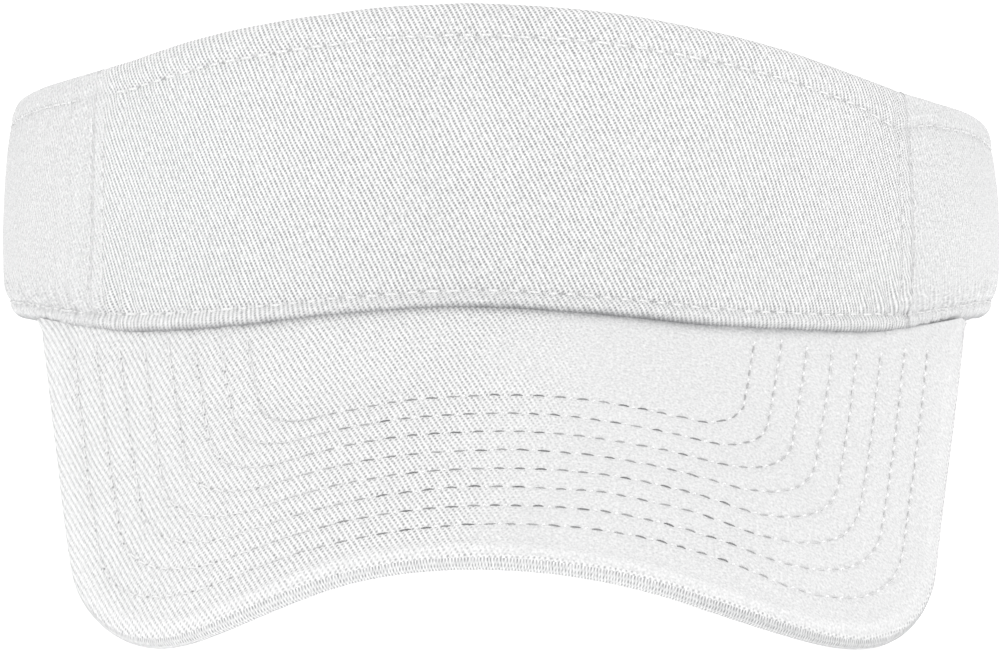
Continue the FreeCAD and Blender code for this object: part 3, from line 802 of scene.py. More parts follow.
def tab_strip(name, at, z_low, z_top, depth, thick, rows, bulge=0.0, rough=0.0, seed=80):
    """A flat tab or tape of the closure whose depth changes along it."""
    s = at[:, None]
    low, top = z_low(s), z_top(s)
    h = np.concatenate([[0, 0.006, 0.02], np.linspace(0.045, 0.955, rows), [0.98, 0.994, 1]])[None]
    z = low + (top - low) * h
    edge = np.minimum(z - low, top - z)
    half = thick / 2 * np.sqrt(np.clip(1 - (1 - np.clip(edge / (thick / 2), 0, 1)) ** 2, 0.02, 1))
    mid = depth(s) + thick / 2
    face = bulge * np.sqrt(np.clip(np.sin(PI * h), 0, 1)) + rough * noise(s / 1.1, z / 1.1, seed)
    return swept(name, strip_loops(ring(s, z, mid - half - face), ring(s, z, mid + half)), at)


def loop_drop(s):
    """How much the loop tab's edges draw in at its round tip."""
    left = np.clip((LOOP_TIP - s) / 8.0, 0, 1)
    return 8.0 * (1 - np.sqrt(np.clip(1 - (1 - left) ** 2, 0, 1)))


def level(height):
    """A function that gives one height or depth at every station."""
    return lambda s: height + 0 * s


TAPE_LOW, TAPE_TOP = level(5), level(25)
TAPE_A, TAPE_B = rear_station(48, 1), rear_station(-27, 1)
HOOK_A, HOOK_B = rear_station(13, -1), rear_station(-11, -1)
loop_tab = tab_strip("loop_tab_cloth", stations(LOOP_ROOT, LOOP_TIP, 0.9), lambda s: 3 + loop_drop(s),
                     lambda s: 27 - loop_drop(s), loop_depth, thick=1.5, rows=26)
loop_tape = tab_strip("loop_tape_pile", stations(TAPE_A, TAPE_B, 0.6), TAPE_LOW, TAPE_TOP,
                      lambda s: loop_depth(s) - 0.85, thick=0.85, rows=34, bulge=0.12, rough=0.09)
hook_base = tab_strip("hook_tape_base", stations(HOOK_A, HOOK_B, 0.9), TAPE_LOW, TAPE_TOP, level(1.6),
                      thick=0.4, rows=18)


def hooks():
    """The hook tape's tiny hooks: short bent filaments standing in rows on its inner face."""
    rng = np.random.default_rng(91)
    across = np.arange(6.4, 24.2, 1.25)
    along = np.arange(min(HOOK_A, HOOK_B) + 1.2, max(HOOK_A, HOOK_B) - 1.0, 1.25)
    t = np.linspace(0, 1, 6)
    rise = 0.62 * np.sin(np.clip(t * 1.35, 0, 1) * PI / 2)
    bend = 0.34 * smooth((t - 0.35) / 0.65)
    fall = 0.16 * smooth((t - 0.75) / 0.25)
    sides = np.arange(4) * PI / 2
    points, faces, base = [], [], 0
    for k, z0 in enumerate(across):
        for s0 in along:
            z = z0 + rng.uniform(-0.08, 0.08)
            s1 = s0 + rng.uniform(-0.08, 0.08) + 0.6 * (k % 2)
            flip = 1 if k % 2 else -1
            cs, cd = s1 + flip * bend, 2.0 + rise - fall
            for a, b in zip(cs, cd):
                points += [ring(a + 0.09 * math.cos(q), z + 0.09 * math.sin(q), b) for q in sides]
            for i in range(5):
                faces += [[base + i * 4 + q, base + i * 4 + (q + 1) % 4, base + i * 4 + 4 + (q + 1) % 4,
                           base + i * 4 + 4 + q] for q in range(4)]
            faces += [[base, base + 1, base + 2, base + 3], [base + 23, base + 22, base + 21, base + 20]]
            base += 24
    return mesh_object("hook_tape_hooks", np.array(points), faces, np.zeros((sum(map(len, faces)), 2)))


hook_pile = hooks()

# ------------------------------------------------------------------ the bill's pieces
RIM = 1.6


def seam_curve(count, depth=0.5):
    """The bill's inner edge under the crown, as stations and reaches, from tip to tip."""
    trial = np.linspace(60, 125, 600)
    y = ring(trial, bottom_z(trial), depth)[:, 1]
    tip = float(np.interp(-34.5, y, trial))
    at = np.linspace(-tip, tip, count)
    p = ring(at, bottom_z(at), depth)
    v = reach_at(p[:, 0], p[:, 1])
    return np.stack([across_at(p[:, 0], v), v], 1)


def bill_grid(count):
    """The outline, its inward direction, the seam opposite each point and how much room there is between."""
    edge = resampled(outline(), count)
    along = np.gradient(edge, axis=0)
    along /= np.linalg.norm(along, axis=1)[:, None]
    inward = np.stack([along[:, 1], -along[:, 0]], 1)
    seam = seam_curve(count)
    room = np.linalg.norm(edge - seam, axis=1)
    return edge, inward, seam, room


def bill_layer(edge, inward, seam, room, inset, stop, shares):
    """Stations, reaches and edge distances from inset mm inside the outline to the seam."""
    width = np.minimum(stop, 0.6 * room)[:, None]
    start = np.minimum(inset, 0.35 * room)[:, None]
    band = np.linspace(0, 1, 9)[None]
    e = start + (width - start) * band
    near = edge[:, None] + inward[:, None] * e[..., None]
    far = near[:, -1:] * (1 - shares[None, 1:, None]) + seam[:, None] * shares[None, 1:, None]
    e_far = width + room[:, None] * shares[None, 1:]
    p = np.concatenate([near, far], 1)
    return p[..., 0], p[..., 1], np.concatenate([e, e_far], 1)


def bill_piece(name, loops_s, loops_v, loops_d, loops_r, shade=None, rim=None, flat=None):
    """A closed bill piece from loops of station, reach, depth and relief. Its cloth coordinates are s and v.

    rim is (first, last, u, v): between those points of a loop the cloth has its own coordinates."""
    grain_u, grain_v = loops_s, loops_v + 0.6 * loops_d
    points = bill_point(loops_s, loops_v, loops_d, loops_r)
    n, m = loops_s.shape
    i, q = np.meshgrid(np.arange(n - 1), np.arange(m), indexing="ij")
    i, q = i.ravel(), q.ravel()
    q2 = (q + 1) % m
    quads = np.stack([i * m + q, i * m + q2, (i + 1) * m + q2, (i + 1) * m + q], 1)
    faces = quads.tolist() + [list(range(m))[::-1], list(range((n - 1) * m, n * m))]
    corners = np.concatenate([np.array(f) for f in (quads.ravel(), faces[-2], faces[-1])])
    uv = np.stack([grain_u.ravel()[corners], grain_v.ravel()[corners]], 1)
    if rim:
        first, last, rim_u, rim_v = rim
        own = np.repeat((q >= first) & (q < last), 4)
        uv[: len(own)][own] = np.stack([rim_u.ravel()[corners], rim_v.ravel()[corners]], 1)[: len(own)][own]
    return mesh_object(name, points.reshape(-1, 3), faces, uv, shade, flat)


def top_cover():
    """The bill's top cover: over the board, round the rim and a little way back under."""
    edge, inward, seam, room = bill_grid(520)
    fit = np.minimum(1, room / 6)[:, None]
    rim = RIM * fit
    s0, v0, e0 = bill_layer(edge, inward, seam, room, RIM, 6.5, np.linspace(0, 1, 98))
    relief0 = bill_relief(s0, v0, e0)
    turn = np.linspace(0, PI, 11)[None, 1:]
    under = np.linspace(0, 1, 4)[None, 1:]

    def rounded(radius):
        e = rim - radius * np.sin(turn)
        return edge[:, None] + inward[:, None] * e[..., None], RIM - radius * np.cos(turn) + 0 * rim

    pr, dr = rounded(rim)
    pi, di = rounded(rim - 0.75 * fit)
    back = rim + 2.0 * fit * under
    pu = edge[:, None] + inward[:, None] * back[..., None]
    outer_s = np.concatenate([s0[:, ::-1], pr[..., 0], pu[..., 0]], 1)
    outer_v = np.concatenate([v0[:, ::-1], pr[..., 1], pu[..., 1]], 1)
    outer_d = np.concatenate([0 * s0, dr, 2 * RIM + 0 * back], 1)
    fade = np.linspace(1, 0, turn.shape[1])[None] ** 2
    outer_r = np.concatenate([relief0[:, ::-1], relief0[:, :1] * fade, 0 * back], 1)
    s1, v1, _ = bill_layer(edge, inward, seam, room, RIM, 6.5, np.linspace(0, 1, 16))
    inner_s = np.concatenate([pu[:, ::-1, 0], pi[:, ::-1, 0], s1], 1)
    inner_v = np.concatenate([pu[:, ::-1, 1], pi[:, ::-1, 1], v1], 1)
    inner_d = np.concatenate([2 * RIM - 0.75 + 0 * back, di[:, ::-1], 0.75 + 0 * s1], 1)
    f = row_field(outer_s, outer_v)
    # painted shade for the cloth's colour, kept as the shade attribute: it darkens where positive and
    # lightens where negative
    painted_shade = np.zeros_like(outer_s)
    # painted shade along the stitch rows
    for offset in ROWS:
        painted_shade += 0.12 * bell(f - offset, 0.5)
    e_all = np.concatenate([e0[:, ::-1], np.zeros_like(dr), np.zeros_like(back)], 1)
    # painted shade on the rounded rim, which faces down, stronger towards positive stations
    painted_shade = painted_shade + (0.9 + 0.8 * smooth((outer_s - 15) / 30)) * (e_all < 1) * smooth(outer_d / 0.6)
    # a painted highlight on the ridge inside the rim
    painted_shade -= 0.25 * bell(e_all - 3.2, 1.0)
    # less painted shade on the rim's underside
    painted_shade *= 1 - 0.55 * smooth((outer_d - 1.5) / 1.2)
    # a painted shadow along the first loops, under the crown's rolled edge
    painted_shade += 2.6 * np.exp(-np.maximum(np.arange(painted_shade.shape[1]) - 1.5, 0) / 1.3)
    shade = np.concatenate([painted_shade, 0 * inner_s], 1)
    # flat weakens the weave's relief and its painted weave shade over most of the bill's positive-station
    # half and on the rim, where the twill shows faint under the light
    place = outer_s + 0.15 * outer_v + 5 * noise(outer_s / 12, outer_v / 12, 34)
    flat = np.maximum(0.95 * smooth((place + 6) / 26), 0.4 * (1 - smooth((e_all - 3.4) / 2.5)))
    flat = np.maximum(flat, 0.25 * smooth((-outer_s - 30) / 30))
    flat = np.where(e_all < 1.5, 0.25, flat)
    flat = np.concatenate([flat, 0 * inner_s], 1)
    every_s = np.concatenate([outer_s, inner_s], 1)
    every_v = np.concatenate([outer_v, inner_v], 1)
    every_d = np.concatenate([outer_d, inner_d], 1)
    steps = np.linalg.norm(np.diff(edge, axis=0), axis=1)
    along = np.concatenate([[0], np.cumsum(steps)])[:, None]
    crease = s0.shape[1] + 1
    last = outer_s.shape[1] - 1
    rim_u = 1.75 * (along - along.mean()) + 0 * every_s
    rim_v = 0.8 * every_d
    return bill_piece("bill_top_cover_cloth", every_s, every_v, every_d,
                      np.concatenate([outer_r, 0 * inner_s], 1), shade.ravel(), (crease, last, rim_u, rim_v),
                      flat.ravel())


def bill_slab(name, count, inset, d_top, d_low, rows, relief=0.0):
    """A bill layer between two depths, from inset mm inside the outline to the seam."""
    edge, inward, seam, room = bill_grid(count)
    s, v, e = bill_layer(edge, inward, seam, room, inset, inset + 4, np.linspace(0, 1, rows))
    half = (d_low - d_top) / 2
    inside = np.clip((e - e[:, :1]) / half, 0, 1)
    thick = half * np.sqrt(np.clip(1 - (1 - inside) ** 2, 0.01, 1))
    mid = (d_top + d_low) / 2
    face = relief * (bill_relief(s, v) + 0.1)
    both = lambda a, b: np.concatenate([a[:, ::-1], b], 1)
    return bill_piece(name, both(s, s), both(v, v), both(mid - thick, mid + thick - face), both(0 * s, 0 * s))


bill_top = top_cover()
bill_under = bill_slab("bill_under_cover_cloth", 400, RIM + 2.25, 2.46, 3.2, 60, relief=0.8)
bill_board = bill_slab("bill_board_sheet", 160, 2.7, 0.86, 2.36, 24)

# ------------------------------------------------------------------ sewing thread
PITCH_CROWN, PITCH_BILL = 3.3, 3.5


def seam_rows(side):
    """The two upright rows beside a side seam, one on each panel."""
    runs = []
    for at in (side * (SEAM - 2.6), side * (SEAM + 0.9)):
        z = np.linspace(float(bottom_z(at)) + 3.4, float(top_row(at)) - 0.5, 120)
        runs.append((at + 0.25 * noise(z / 9, at, 95), z))
    return runs


def hem_runs(a, b, inside):
    """The top and bottom rows of a panel between two stations, and the top row again inside."""
    s = np.linspace(a, b, max(int(abs(b - a) * 2), 10))
    top, low = top_row(s), bottom_row(s)
    runs = [wall_run(s, top, PITCH_CROWN), wall_run(s, low, PITCH_CROWN)]
    runs.append(wall_run(s, top, PITCH_CROWN, outward=False, d=inside, fine=0.0))
    return runs


front_runs = hem_runs(-SEAM + 2, SEAM - 2, FRONT_FOLDS["deep_top"])
left_runs = hem_runs(SEAM + 2, LEFT_END - 2, SIDE_FOLDS["deep_top"])
right_runs = hem_runs(TAB_TIP + 3, -SEAM - 2, SIDE_FOLDS["deep_top"])
for side, rear_runs in ((1, left_runs), (-1, right_runs)):
    (s_front, z_front), (s_rear, z_rear) = seam_rows(side)
    front_runs.append(wall_run(s_front, z_front, PITCH_CROWN))
    rear_runs.append(wall_run(s_rear, z_rear, PITCH_CROWN))
end_z = np.linspace(float(bottom_z(LEFT_END - 2.5)) + 3.2, float(top_row(LEFT_END - 2.5)) - 0.5, 80)
left_runs.append(wall_run(LEFT_END - 2.5 + 0 * end_z, end_z, PITCH_CROWN))
tip_z = np.linspace(9.5, 20.5, 40)
right_runs.append(wall_run(TAB_TIP + 2.6 + 0 * tip_z, tip_z, PITCH_CROWN))


def crown_tones(p):
    """Painted shade of the crown's stitches and their gaps: the stitches a little paler than its cloth, the
    gaps dark as a painted shadow of the needle holes. By the side seams and on the sides they sink in: the
    stitches take a little more painted shade and the gaps less."""
    side = float(smooth((abs(p[0]) - 64) / 9))
    return 0.15 + 0.06 * side, 0.62 - 0.22 * side


front_thread = thread("front_panel_stitching", front_runs, crown_tones, radius=0.165, seed=101)
left_thread = thread("left_side_stitching", left_runs, crown_tones, radius=0.15, seed=102)
right_thread = thread("right_side_stitching", right_runs, crown_tones, radius=0.15, seed=103)
paths = [row_path(offset) for offset in ROWS]


def bill_tones(p):
    """Painted shade of the bill's stitches and their gaps. Across the middle the stitches are pressed in and
    dark with painted shadow, with pale puffs between them. To the wearer's right they lie pale on the cloth
    and their gaps are dark with the painted shadow of the needle holes."""
    right = 1 - float(smooth((p[0] + 48) / 30))
    left = float(smooth((p[0] - 32) / 18))
    return 0.06 + 0.86 * (1 - right) * (1 - 0.62 * left), 0.75 * right


bill_thread = thread("bill_top_stitching", [bill_run(path, PITCH_BILL) for path in paths], bill_tones,
                     radius=0.115, share=0.78, seed=104)
under_thread = thread("bill_underside_stitching", [bill_run(path, PITCH_BILL, under=True) for path in paths],
                      bill_tones, radius=0.115, share=0.78, seed=105)


def flat_run(s, z, depth, pitch):
    """A stitch run on the inner face of a flat piece at that depth."""
    p = ring(s, z, depth)
    return p, ring(s, z, depth + 1) - p, pitch


sweat_s = np.linspace(-BAND_END + 2, BAND_END - 2, 320)


def sweat_run(z):
    """A stitch run on the sweatband's face."""
    p = wall_point(sweat_s, z, 3.95 + puffed(sweat_s, z), 0.0)
    inward = wall_point(sweat_s, z, 5.0, 0.0) - wall_point(sweat_s, z, 4.0, 0.0)
    return p, inward, 3.0


label_z = np.linspace(32.2, 39.8, 30)
sweat_thread = thread("sweatband_stitching", [
    sweat_run(sweat_low(sweat_s) + 2.6),
    flat_run(-12.8 + 0 * label_z, label_z, 2.8, 2.2),
    flat_run(12.8 + 0 * label_z, label_z, 2.8, 2.2)], seed=106)


def tape_runs(a, b, depth):
    """Stitch runs round the edge of a tape, 1.3 mm in."""
    s = np.linspace(a, b, 200)
    z = np.linspace(6.3, 23.7, 60)
    low, high = min(a, b), max(a, b)
    runs = [(s, 6.3 + 0 * s), (s, 23.7 + 0 * s), (low + 1.3 + 0 * z, z), (high - 1.3 + 0 * z, z)]
    made = []
    for rs, rz in runs:
        d = depth(rs)
        p = ring(rs, rz, d)
        out = ring(rs, rz, d - 1) - p
        made.append((p, out, 2.6))
    return made


loop_thread = thread("loop_tab_stitching",
                     tape_runs(TAPE_A + 0.6, TAPE_B - 0.6, lambda s: loop_depth(s) - 0.97), seed=107)


# ------------------------------------------------------------------ materials
class Graph:
    """A material's node graph, with short calls for its arithmetic."""

    def __init__(self, name):
        self.material = bpy.data.materials.new(name)
        self.material.use_nodes = True
        self.tree = self.material.node_tree
        self.tree.nodes.clear()
        out = self.tree.nodes.new("ShaderNodeOutputMaterial")
        self.shader = self.tree.nodes.new("ShaderNodeBsdfPrincipled")
        self.tree.links.new(self.shader.outputs[0], out.inputs[0])

    def put(self, socket, value):
        """A number, colour or other node's output into an input."""
        if isinstance(value, bpy.types.NodeSocket):
            self.tree.links.new(value, socket)
        else:
            socket.default_value = value

    def math(self, operation, a, b=0.0, c=0.0, clamp=False):
        node = self.tree.nodes.new("ShaderNodeMath")
        node.operation = operation
        node.use_clamp = clamp
        for socket, value in zip(node.inputs, (a, b, c)):
            self.put(socket, value)
        return node.outputs[0]

    def add(self, a, b):
        return self.math("ADD", a, b)

    def mul(self, a, b):
        return self.math("MULTIPLY", a, b)

    def wave(self, phase):
        """0 to 1 and back once for each unit of phase."""
        return self.add(self.mul(self.math("COSINE", self.mul(phase, 2 * PI)), 0.5), 0.5)

    def weave(self):
        """The cloth coordinates in mm."""
        node = self.tree.nodes.new("ShaderNodeUVMap")
        node.uv_map = "weave"
        split = self.tree.nodes.new("ShaderNodeSeparateXYZ")
        self.tree.links.new(node.outputs[0], split.inputs[0])
        return split.outputs[0], split.outputs[1]

    def noise(self, u, v, cell, seed, detail=1.0, tall=1.0):
        """Soft noise from about -1 to 1 with cells of that size in mm; tall stretches them along v."""
        join = self.tree.nodes.new("ShaderNodeCombineXYZ")
        self.put(join.inputs[0], self.mul(u, 1 / cell))
        self.put(join.inputs[1], self.mul(v, 1 / (cell * tall)))
        join.inputs[2].default_value = seed * 7.3
        node = self.tree.nodes.new("ShaderNodeTexNoise")
        node.inputs["Scale"].default_value = 1.0
        node.inputs["Detail"].default_value = detail
        self.tree.links.new(join.outputs[0], node.inputs["Vector"])
        return self.mul(self.add(node.outputs[0], -0.5), 3.2)

    def point(self, name):
        """A value kept on the mesh's points."""
        node = self.tree.nodes.new("ShaderNodeAttribute")
        node.attribute_name = name
        return node.outputs["Fac"]

    def tint(self, low, high, share):
        """A colour between two."""
        node = self.tree.nodes.new("ShaderNodeMix")
        node.data_type = "RGBA"
        self.put(node.inputs[0], share)
        node.inputs[6].default_value = (*low, 1)
        node.inputs[7].default_value = (*high, 1)
        return node.outputs[2]

    def bump(self, height, depth):
        """Surface relief from a height of 0 to 1, depth mm tall."""
        node = self.tree.nodes.new("ShaderNodeBump")
        node.inputs["Strength"].default_value = 1.0
        node.inputs["Distance"].default_value = depth / 1000
        self.put(node.inputs["Height"], height)
        self.tree.links.new(node.outputs[0], self.shader.inputs["Normal"])

    def finish(self, colour, roughness, sheen=0.25, sheen_rough=0.5):
        self.put(self.shader.inputs["Base Color"], colour)
        self.put(self.shader.inputs["Roughness"], roughness)
        self.shader.inputs["Specular IOR Level"].default_value = 0.25
        self.shader.inputs["Sheen Weight"].default_value = sheen
        self.shader.inputs["Sheen Roughness"].default_value = sheen_rough
        return self.material


# the cloth's own white, and the dark grey that the twill's painted shade and fibre mottling blend towards
WHITE, SHADE_AND_MOTTLE_GREY = (0.87, 0.87, 0.87), (0.33, 0.333, 0.34)


def twill(name, pitch, slope, weft, strength, depth, speckle, tone):
    """Cotton twill: slanting wales of that pitch across, crossed by weft yarns, with a pit where two floats
    meet. The valleys between the wales and the pits are darkened with painted shade.

    slope is the wales' lean and weft the yarns in each mm along v. speckle is how strongly the fibres mottle
    the cloth, and tone darkens it evenly."""
    g = Graph(name)
    u, v = g.weave()
    drift = g.add(g.mul(g.noise(u, v, 14, 1), 0.24), g.mul(g.noise(u, v, 3.4, 2, tall=1.8), 0.05))
    drift = g.add(drift, g.mul(g.noise(u, v, 1.1, 6, tall=2.0), 0.07))
    phase = g.add(g.mul(g.add(u, g.mul(v, slope)), 1 / pitch), drift)
    across = g.add(g.mul(v, -weft), g.add(phase, g.mul(g.noise(u, v, 2.6, 7), 0.12)))
    rib = g.wave(phase)
    uneven = g.noise(u, v, 0.9, 3, tall=1.4)
    valley = g.math("POWER", g.math("SUBTRACT", 1.0, rib), 1.5)
    float_end = g.wave(across)
    # painted shade in the pits where two floats meet, along the valleys between the wales
    pits = g.mul(valley, g.add(g.mul(float_end, 1.05), 0.15))
    pits = g.mul(pits, g.math("MAXIMUM", g.add(g.mul(uneven, 0.45), 0.95), 0.05))
    patches = g.math("MAXIMUM", g.noise(u, v, 9, 8, detail=2.0), 0.0)
    worn = g.math("SUBTRACT", 1.0, g.mul(patches, 0.14))
    # the flat attribute weakens the weave's relief and its painted weave shade
    worn = g.math("MULTIPLY", worn, g.math("SUBTRACT", 1.0, g.point("flat")), clamp=True)
    pits = g.mul(pits, worn)
    fibre = g.noise(u, v, 0.38, 4, detail=2.0, tall=1.2)
    blotch = g.noise(u, v, 0.62, 10, detail=1.0)
    cloud = g.noise(u, v, 16, 5, detail=2.0)
    dark_share = g.add(g.mul(pits, strength), g.add(g.mul(fibre, speckle), g.mul(blotch, speckle * 0.6)))
    # where the painted weave shade is weakened, painted shade is spread evenly in its place
    flat = g.mul(g.math("SUBTRACT", 1.0, g.mul(worn, strength)), 0.36)
    dark_share = g.add(dark_share, g.add(g.mul(cloud, 0.025), flat))
    # painted shade from the mesh's shade attribute
    dark_share = g.math("ADD", g.add(dark_share, tone), g.mul(g.point("shade"), 0.22), clamp=True)
    height = g.mul(g.add(g.mul(g.math("POWER", rib, 0.7), 0.5), g.mul(float_end, 0.14)), worn)
    height = g.add(height, g.add(g.mul(pits, -0.5), g.add(g.mul(fibre, 0.16), g.mul(uneven, 0.08))))
    g.bump(height, depth)
    return g.finish(g.tint(WHITE, SHADE_AND_MOTTLE_GREY, dark_share), g.add(g.mul(pits, 0.08), 0.84))


def plain(name, pitch, light, dark, depth, strength=0.8, fuzz=0.05, sheen=0.2):
    """Plain weave of the given pitch, with painted shade in the gaps between its yarns."""
    g = Graph(name)
    u, v = g.weave()
    bend = g.mul(g.noise(u, v, 7, 11), 0.22)
    a = g.add(g.mul(u, 1 / pitch), bend)
    b = g.add(g.mul(v, 1 / pitch), bend)
    over = g.wave(g.mul(g.add(a, b), 0.5))
    under = g.wave(g.mul(g.math("SUBTRACT", a, b), 0.5))
    yarn = g.math("MAXIMUM", over, under)
    gap = g.math("POWER", g.math("SUBTRACT", 1.0, yarn), 1.5)
    slub = g.noise(u, v, 1.4, 12, tall=4.0)
    fibre = g.noise(u, v, 0.3, 13, detail=3.0)
    cloud = g.noise(u, v, 15, 14, detail=2.0)
    # painted shade in the gaps between the yarns
    share = g.add(g.mul(gap, strength), g.mul(fibre, fuzz))
    share = g.math("ADD", g.add(share, g.mul(cloud, 0.05)), g.mul(slub, 0.06), clamp=True)
    g.bump(g.add(g.mul(yarn, 0.8), g.add(g.mul(fibre, 0.15), g.mul(slub, 0.12))), depth)
    return g.finish(g.tint(light, dark, share), 0.86, sheen)


def brushed(name, cell, light, dark, depth, sheen=0.6):
    """Looped or brushed cloth: small soft tufts."""
    g = Graph(name)
    u, v = g.weave()
    tuft = g.noise(u, v, cell, 21, detail=2.0)
    fine = g.noise(u, v, cell / 3, 22, detail=3.0)
    cloud = g.noise(u, v, 12, 23, detail=2.0)
    tufts = g.add(g.mul(tuft, -0.3), 0.35)
    mottle = g.add(g.mul(fine, -0.12), g.mul(cloud, 0.06))
    share = g.math("ADD", tufts, mottle, clamp=True)
    g.bump(g.add(g.mul(tuft, 0.5), g.mul(fine, 0.25)), depth)
    return g.finish(g.tint(light, dark, share), 0.92, sheen, 0.6)


def sewing_thread(name):
    """Spun thread: two plies twisted together, with painted shade between the plies, and darkened by the
    painted shade of the shade attribute where it is pressed in between the puffs of cloth and at the needle
    holes.
    """
    g = Graph(name)
    u, v = g.weave()
    ply = g.wave(g.add(g.mul(u, 1 / 0.42), g.mul(v, 1 / 3)))
    fibre = g.noise(u, g.mul(v, 0.1), 0.16, 31, detail=2.0)
    share = g.add(g.mul(g.math("SUBTRACT", 1.0, ply), 0.14), g.mul(fibre, 0.06))
    # painted shade carried by the shade attribute
    share = g.math("ADD", share, g.mul(g.point("shade"), 0.85), clamp=True)
    g.bump(g.add(ply, g.mul(fibre, 0.2)), 0.06)
    return g.finish(g.tint((0.97, 0.97, 0.97), (0.15, 0.15, 0.155), share), 0.6, 0.3)


def moulded(name, light, dark, rough):
    """Plastic with a faint sparkle of texture, for the board and the hooks."""
    g = Graph(name)
    u, v = g.weave()
    grain = g.noise(u, v, 0.9, 41, detail=3.0)
    cloud = g.noise(u, v, 11, 42)
    share = g.math("ADD", g.add(g.mul(grain, 0.12), 0.25), g.mul(cloud, 0.1), clamp=True)
    g.bump(grain, 0.03)
    return g.finish(g.tint(light, dark, share), g.add(g.mul(grain, 0.06), rough), 0.0)


TWILL = twill("twill_front", 0.896, 0.51, 2.28, 0.92, 0.24, 0.20, 0.07)
# the sides' twill: the front's cloth with much weaker painted weave shade, evenly darker in its place, as the
# twill shows faint where the light falls across the sides
TWILL_SIDE = twill("twill_side", 0.896, 0.51, 2.28, 0.22, 0.14, 0.28, 0.06)
TWILL_BILL = twill("twill_bill", 0.906, -0.386, -1.40, 0.78, 0.20, 0.24, -0.04)
TWILL_UNDER = twill("twill_under", 0.906, -0.386, -1.40, 0.8, 0.20, 0.15, 0.0)
LINING = plain("lining_cotton", 0.55, (0.76, 0.765, 0.77), (0.42, 0.42, 0.43), 0.10)
STIFFENER = plain("buckram", 1.1, (0.74, 0.74, 0.72), (0.30, 0.30, 0.29), 0.20, strength=1.0)
SWEAT = brushed("sweatband_brushed", 0.8, (0.80, 0.80, 0.795), (0.52, 0.52, 0.515), 0.28)
FOAM = brushed("foam_pad", 0.5, (0.78, 0.775, 0.75), (0.48, 0.47, 0.44), 0.18, sheen=0.1)
LABEL = plain("label_satin", 0.32, (0.84, 0.845, 0.85), (0.6, 0.6, 0.61), 0.05, sheen=0.45)
BOARD = moulded("board_plastic", (0.82, 0.82, 0.82), (0.62, 0.62, 0.62), 0.5)
PILE = brushed("loop_pile", 0.55, (0.80, 0.80, 0.80), (0.40, 0.40, 0.405), 0.30)
HOOKS = moulded("hook_plastic", (0.78, 0.78, 0.78), (0.6, 0.6, 0.6), 0.38)
TAPE = plain("tape_ground", 0.5, (0.78, 0.78, 0.78), (0.5, 0.5, 0.5), 0.08)
THREAD = sewing_thread("thread")

for material, objects in (
        (TWILL, (front_panel,)), (TWILL_SIDE, (left_panel, right_panel, loop_tab)), (TWILL_BILL, (bill_top,)),
        (TWILL_UNDER, (bill_under,)), (LINING, (front_lining, left_lining, right_lining)),
        (STIFFENER, (front_backing,)), (SWEAT, (sweatband,)), (FOAM, (padding,)), (LABEL, (label,)),
        (BOARD, (bill_board,)), (PILE, (loop_tape,)), (TAPE, (hook_base,)), (HOOKS, (hook_pile,)),
        (THREAD, (front_thread, left_thread, right_thread, bill_thread, under_thread, sweat_thread,
                  loop_thread))):
    for obj in objects:
        obj.data.materials.append(material)

# ------------------------------------------------------------------ what each piece rides on, and the CAD parts it replaces, which are hidden
for obj in (front_panel, front_backing, front_lining, sweatband, padding, label, bill_board, bill_top,
            bill_under, front_thread, bill_thread, under_thread, sweat_thread):
    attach(obj, "front")
for obj in (loop_tab, loop_tape, loop_thread):
    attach(obj, "left_arm")
for obj in (hook_base, hook_pile):
    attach(obj, "right_arm")
for obj in (left_panel, left_lining, left_thread):
    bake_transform(obj)
for obj in (right_panel, right_lining, right_thread):
    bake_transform(obj)

for obj, node in (
        (front_panel, "front_panel"), (front_backing, "front_backing"), (front_lining, "front_lining"),
        (sweatband, "sweatband"), (padding, "sweatband_padding"), (label, "size_label"),
        (bill_board, "bill_board"), (bill_top, "bill_top_cover"), (bill_under, "bill_under_cover"),
        (left_panel, "left_side_panel"), (left_lining, "left_side_lining"), (loop_tab, "loop_tab"),
        (loop_tape, "loop_tape"), (right_panel, "right_side_panel"), (right_lining, "right_side_lining"),
        (hook_base, "hook_tape")):
    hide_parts(node)


def cut(first, last, tall):
    """A strip's flat cut between two stations: its length and greatest height, and its area, in metres."""
    s = np.linspace(first, last, 400)
    height = tall(s) + 0 * s
    length = abs(last - first)
    return (length / 1000, float(height.max()) / 1000), float(height.mean()) * length * 1e-6


def hemmed(hem_low, deep_low, deep_top):
    """The flat height of an outer panel with its two hems and the cloth in their folds."""
    def flat_height(s):
        height = band_height(s)
        return (height + np.minimum(hem_low, 0.3 * height) + np.minimum(HEM, 0.45 * height)
                + 0.6 * (deep_low + deep_top))

    return flat_height


def bill_cut(extra):
    """The flat cut of a bill cover that goes extra mm past the outline."""
    edge, seam = outline(), seam_curve(400)
    ring_s = np.concatenate([edge[:, 0], seam[::-1, 0]])
    ring_v = np.concatenate([edge[:, 1], seam[::-1, 1]])
    area = abs(np.sum(ring_s * np.roll(ring_v, -1) - ring_v * np.roll(ring_s, -1))) / 2
    round_edge = np.linalg.norm(np.diff(edge, axis=0), axis=1).sum()
    size = (np.ptp(ring_s) + 2 * extra, np.ptp(ring_v) + extra)
    return (float(size[0]) / 1000, float(size[1]) / 1000), float(area + extra * round_edge) * 1e-6


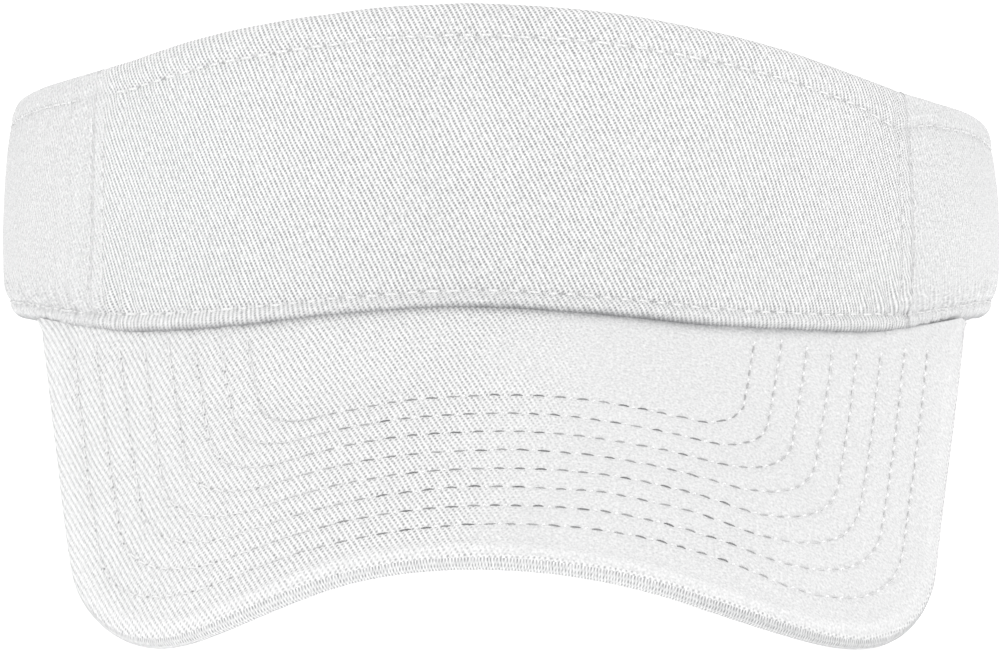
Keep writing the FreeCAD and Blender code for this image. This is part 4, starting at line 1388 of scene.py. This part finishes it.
for obj, (flat, area), held, rests_on in (
        (front_panel, cut(-SEAM, SEAM, hemmed(**FRONT_FOLDS)), "folded",
         ["front_backing_ply", "front_lining_cloth"]),
        (left_panel, cut(SEAM, LEFT_END, hemmed(**SIDE_FOLDS)), "folded", ["left_side_lining_cloth"]),
        (right_panel, cut(TAB_TIP, -SEAM, hemmed(**SIDE_FOLDS)), "folded", ["right_side_lining_cloth"]),
        (front_backing, cut(-BACKING_END, BACKING_END, lambda s: band_height(s) - 10.4), "stretched",
         ["front_panel_cloth"]),
        (front_lining, cut(-LINING_END, LINING_END, lambda s: band_height(s) - HEM - 1.3), "stretched",
         ["front_panel_cloth"]),
        (left_lining, cut(SEAM, LEFT_END - 2, lambda s: band_height(s) - HEM - 5.6), "stretched",
         ["left_side_panel_cloth"]),
        (right_lining, cut(TAB_TIP + 2, -SEAM, lambda s: tab_high(s) - tab_low(s)), "stretched",
         ["right_side_panel_cloth"]),
        (sweatband, cut(-BAND_END, BAND_END, lambda s: 2 * (sweat_top(s) - sweat_low(s)) + 3), "folded",
         ["sweatband_padding_foam", "front_lining_cloth"]),
        (label, ((0.028, 0.010), None), "laid", ["front_panel_cloth"]),
        (loop_tab, cut(LOOP_TIP, LOOP_ROOT, lambda s: 24 - 2 * loop_drop(s)), "stretched",
         ["left_side_panel_cloth"]),
        (loop_tape, cut(TAPE_A, TAPE_B, lambda s: 20), "laid", ["loop_tab_cloth"]),
        (hook_base, cut(HOOK_A, HOOK_B, lambda s: 20), "laid", ["right_side_panel_cloth"]),
        (bill_top, bill_cut(5.0), "stretched", ["bill_board_sheet"]),
        (bill_under, bill_cut(-3.85), "stretched", ["bill_board_sheet"])):
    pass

# ------------------------------------------------------------------ studio
bpy.ops.mesh.primitive_plane_add(size=24)
floor = bpy.context.object
floor.name = "studio_floor"
floor.location.z = min(0.0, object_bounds()[0].z) - 0.0002
paper = Graph("studio_paper")
paper.shader.inputs["Emission Color"].default_value = (1, 1, 1, 1)
paper.shader.inputs["Emission Strength"].default_value = 0.45
floor.data.materials.append(paper.finish((0.93, 0.93, 0.93, 1), 0.9, 0.0))

world = bpy.data.worlds.new("studio")
world.use_nodes = True
world.node_tree.nodes["Background"].inputs[0].default_value = (1, 1, 1, 1)
world.node_tree.nodes["Background"].inputs[1].default_value = 0.95
bpy.context.scene.world = world
bpy.context.scene.view_settings.view_transform = "Standard"


def lamp(name, place, size, watts):
    """A soft square light at a table-frame place, aimed at the visor."""
    data = bpy.data.lights.new(name, "AREA")
    data.size, data.energy = size, watts
    obj = bpy.data.objects.new(name, data)
    bpy.context.scene.collection.objects.link(obj)
    obj.location = place
    outward = np.array(place) - np.array([0, 0, 0.03])
    obj.rotation_mode = "QUATERNION"
    obj.rotation_quaternion = Vector(outward).to_track_quat("Z", "Y")


lamp("key", (0.7, -1.5, 1.4), 1.0, 9)
lamp("fill", (-1.1, -1.6, 0.7), 1.2, 6)

# ------------------------------------------------------------------ camera
DISTANCE, RISE = 1200, math.radians(0.6)  # the eye's distance in mm, and how far it looks down
eye = to_table([0, -DISTANCE * math.cos(RISE), DISTANCE * math.sin(RISE)])
aim = to_table([0, 0, 0])
back = (eye - aim) / np.linalg.norm(eye - aim)
across = np.array([1.0, 0, 0])
up = np.cross(back, across)
camera = bpy.data.objects.new("camera", bpy.data.cameras.new("camera"))
bpy.context.scene.collection.objects.link(camera)
camera.location = eye
camera.rotation_mode = "QUATERNION"
camera.rotation_quaternion = Matrix([list(row) for row in np.stack([across, up, back], 1)]).to_quaternion()
camera.data.lens = 239.8
camera.data.sensor_width = 36
camera.data.shift_x = -0.001
camera.data.clip_start, camera.data.clip_end = 0.05, 60
bpy.context.scene.camera = camera
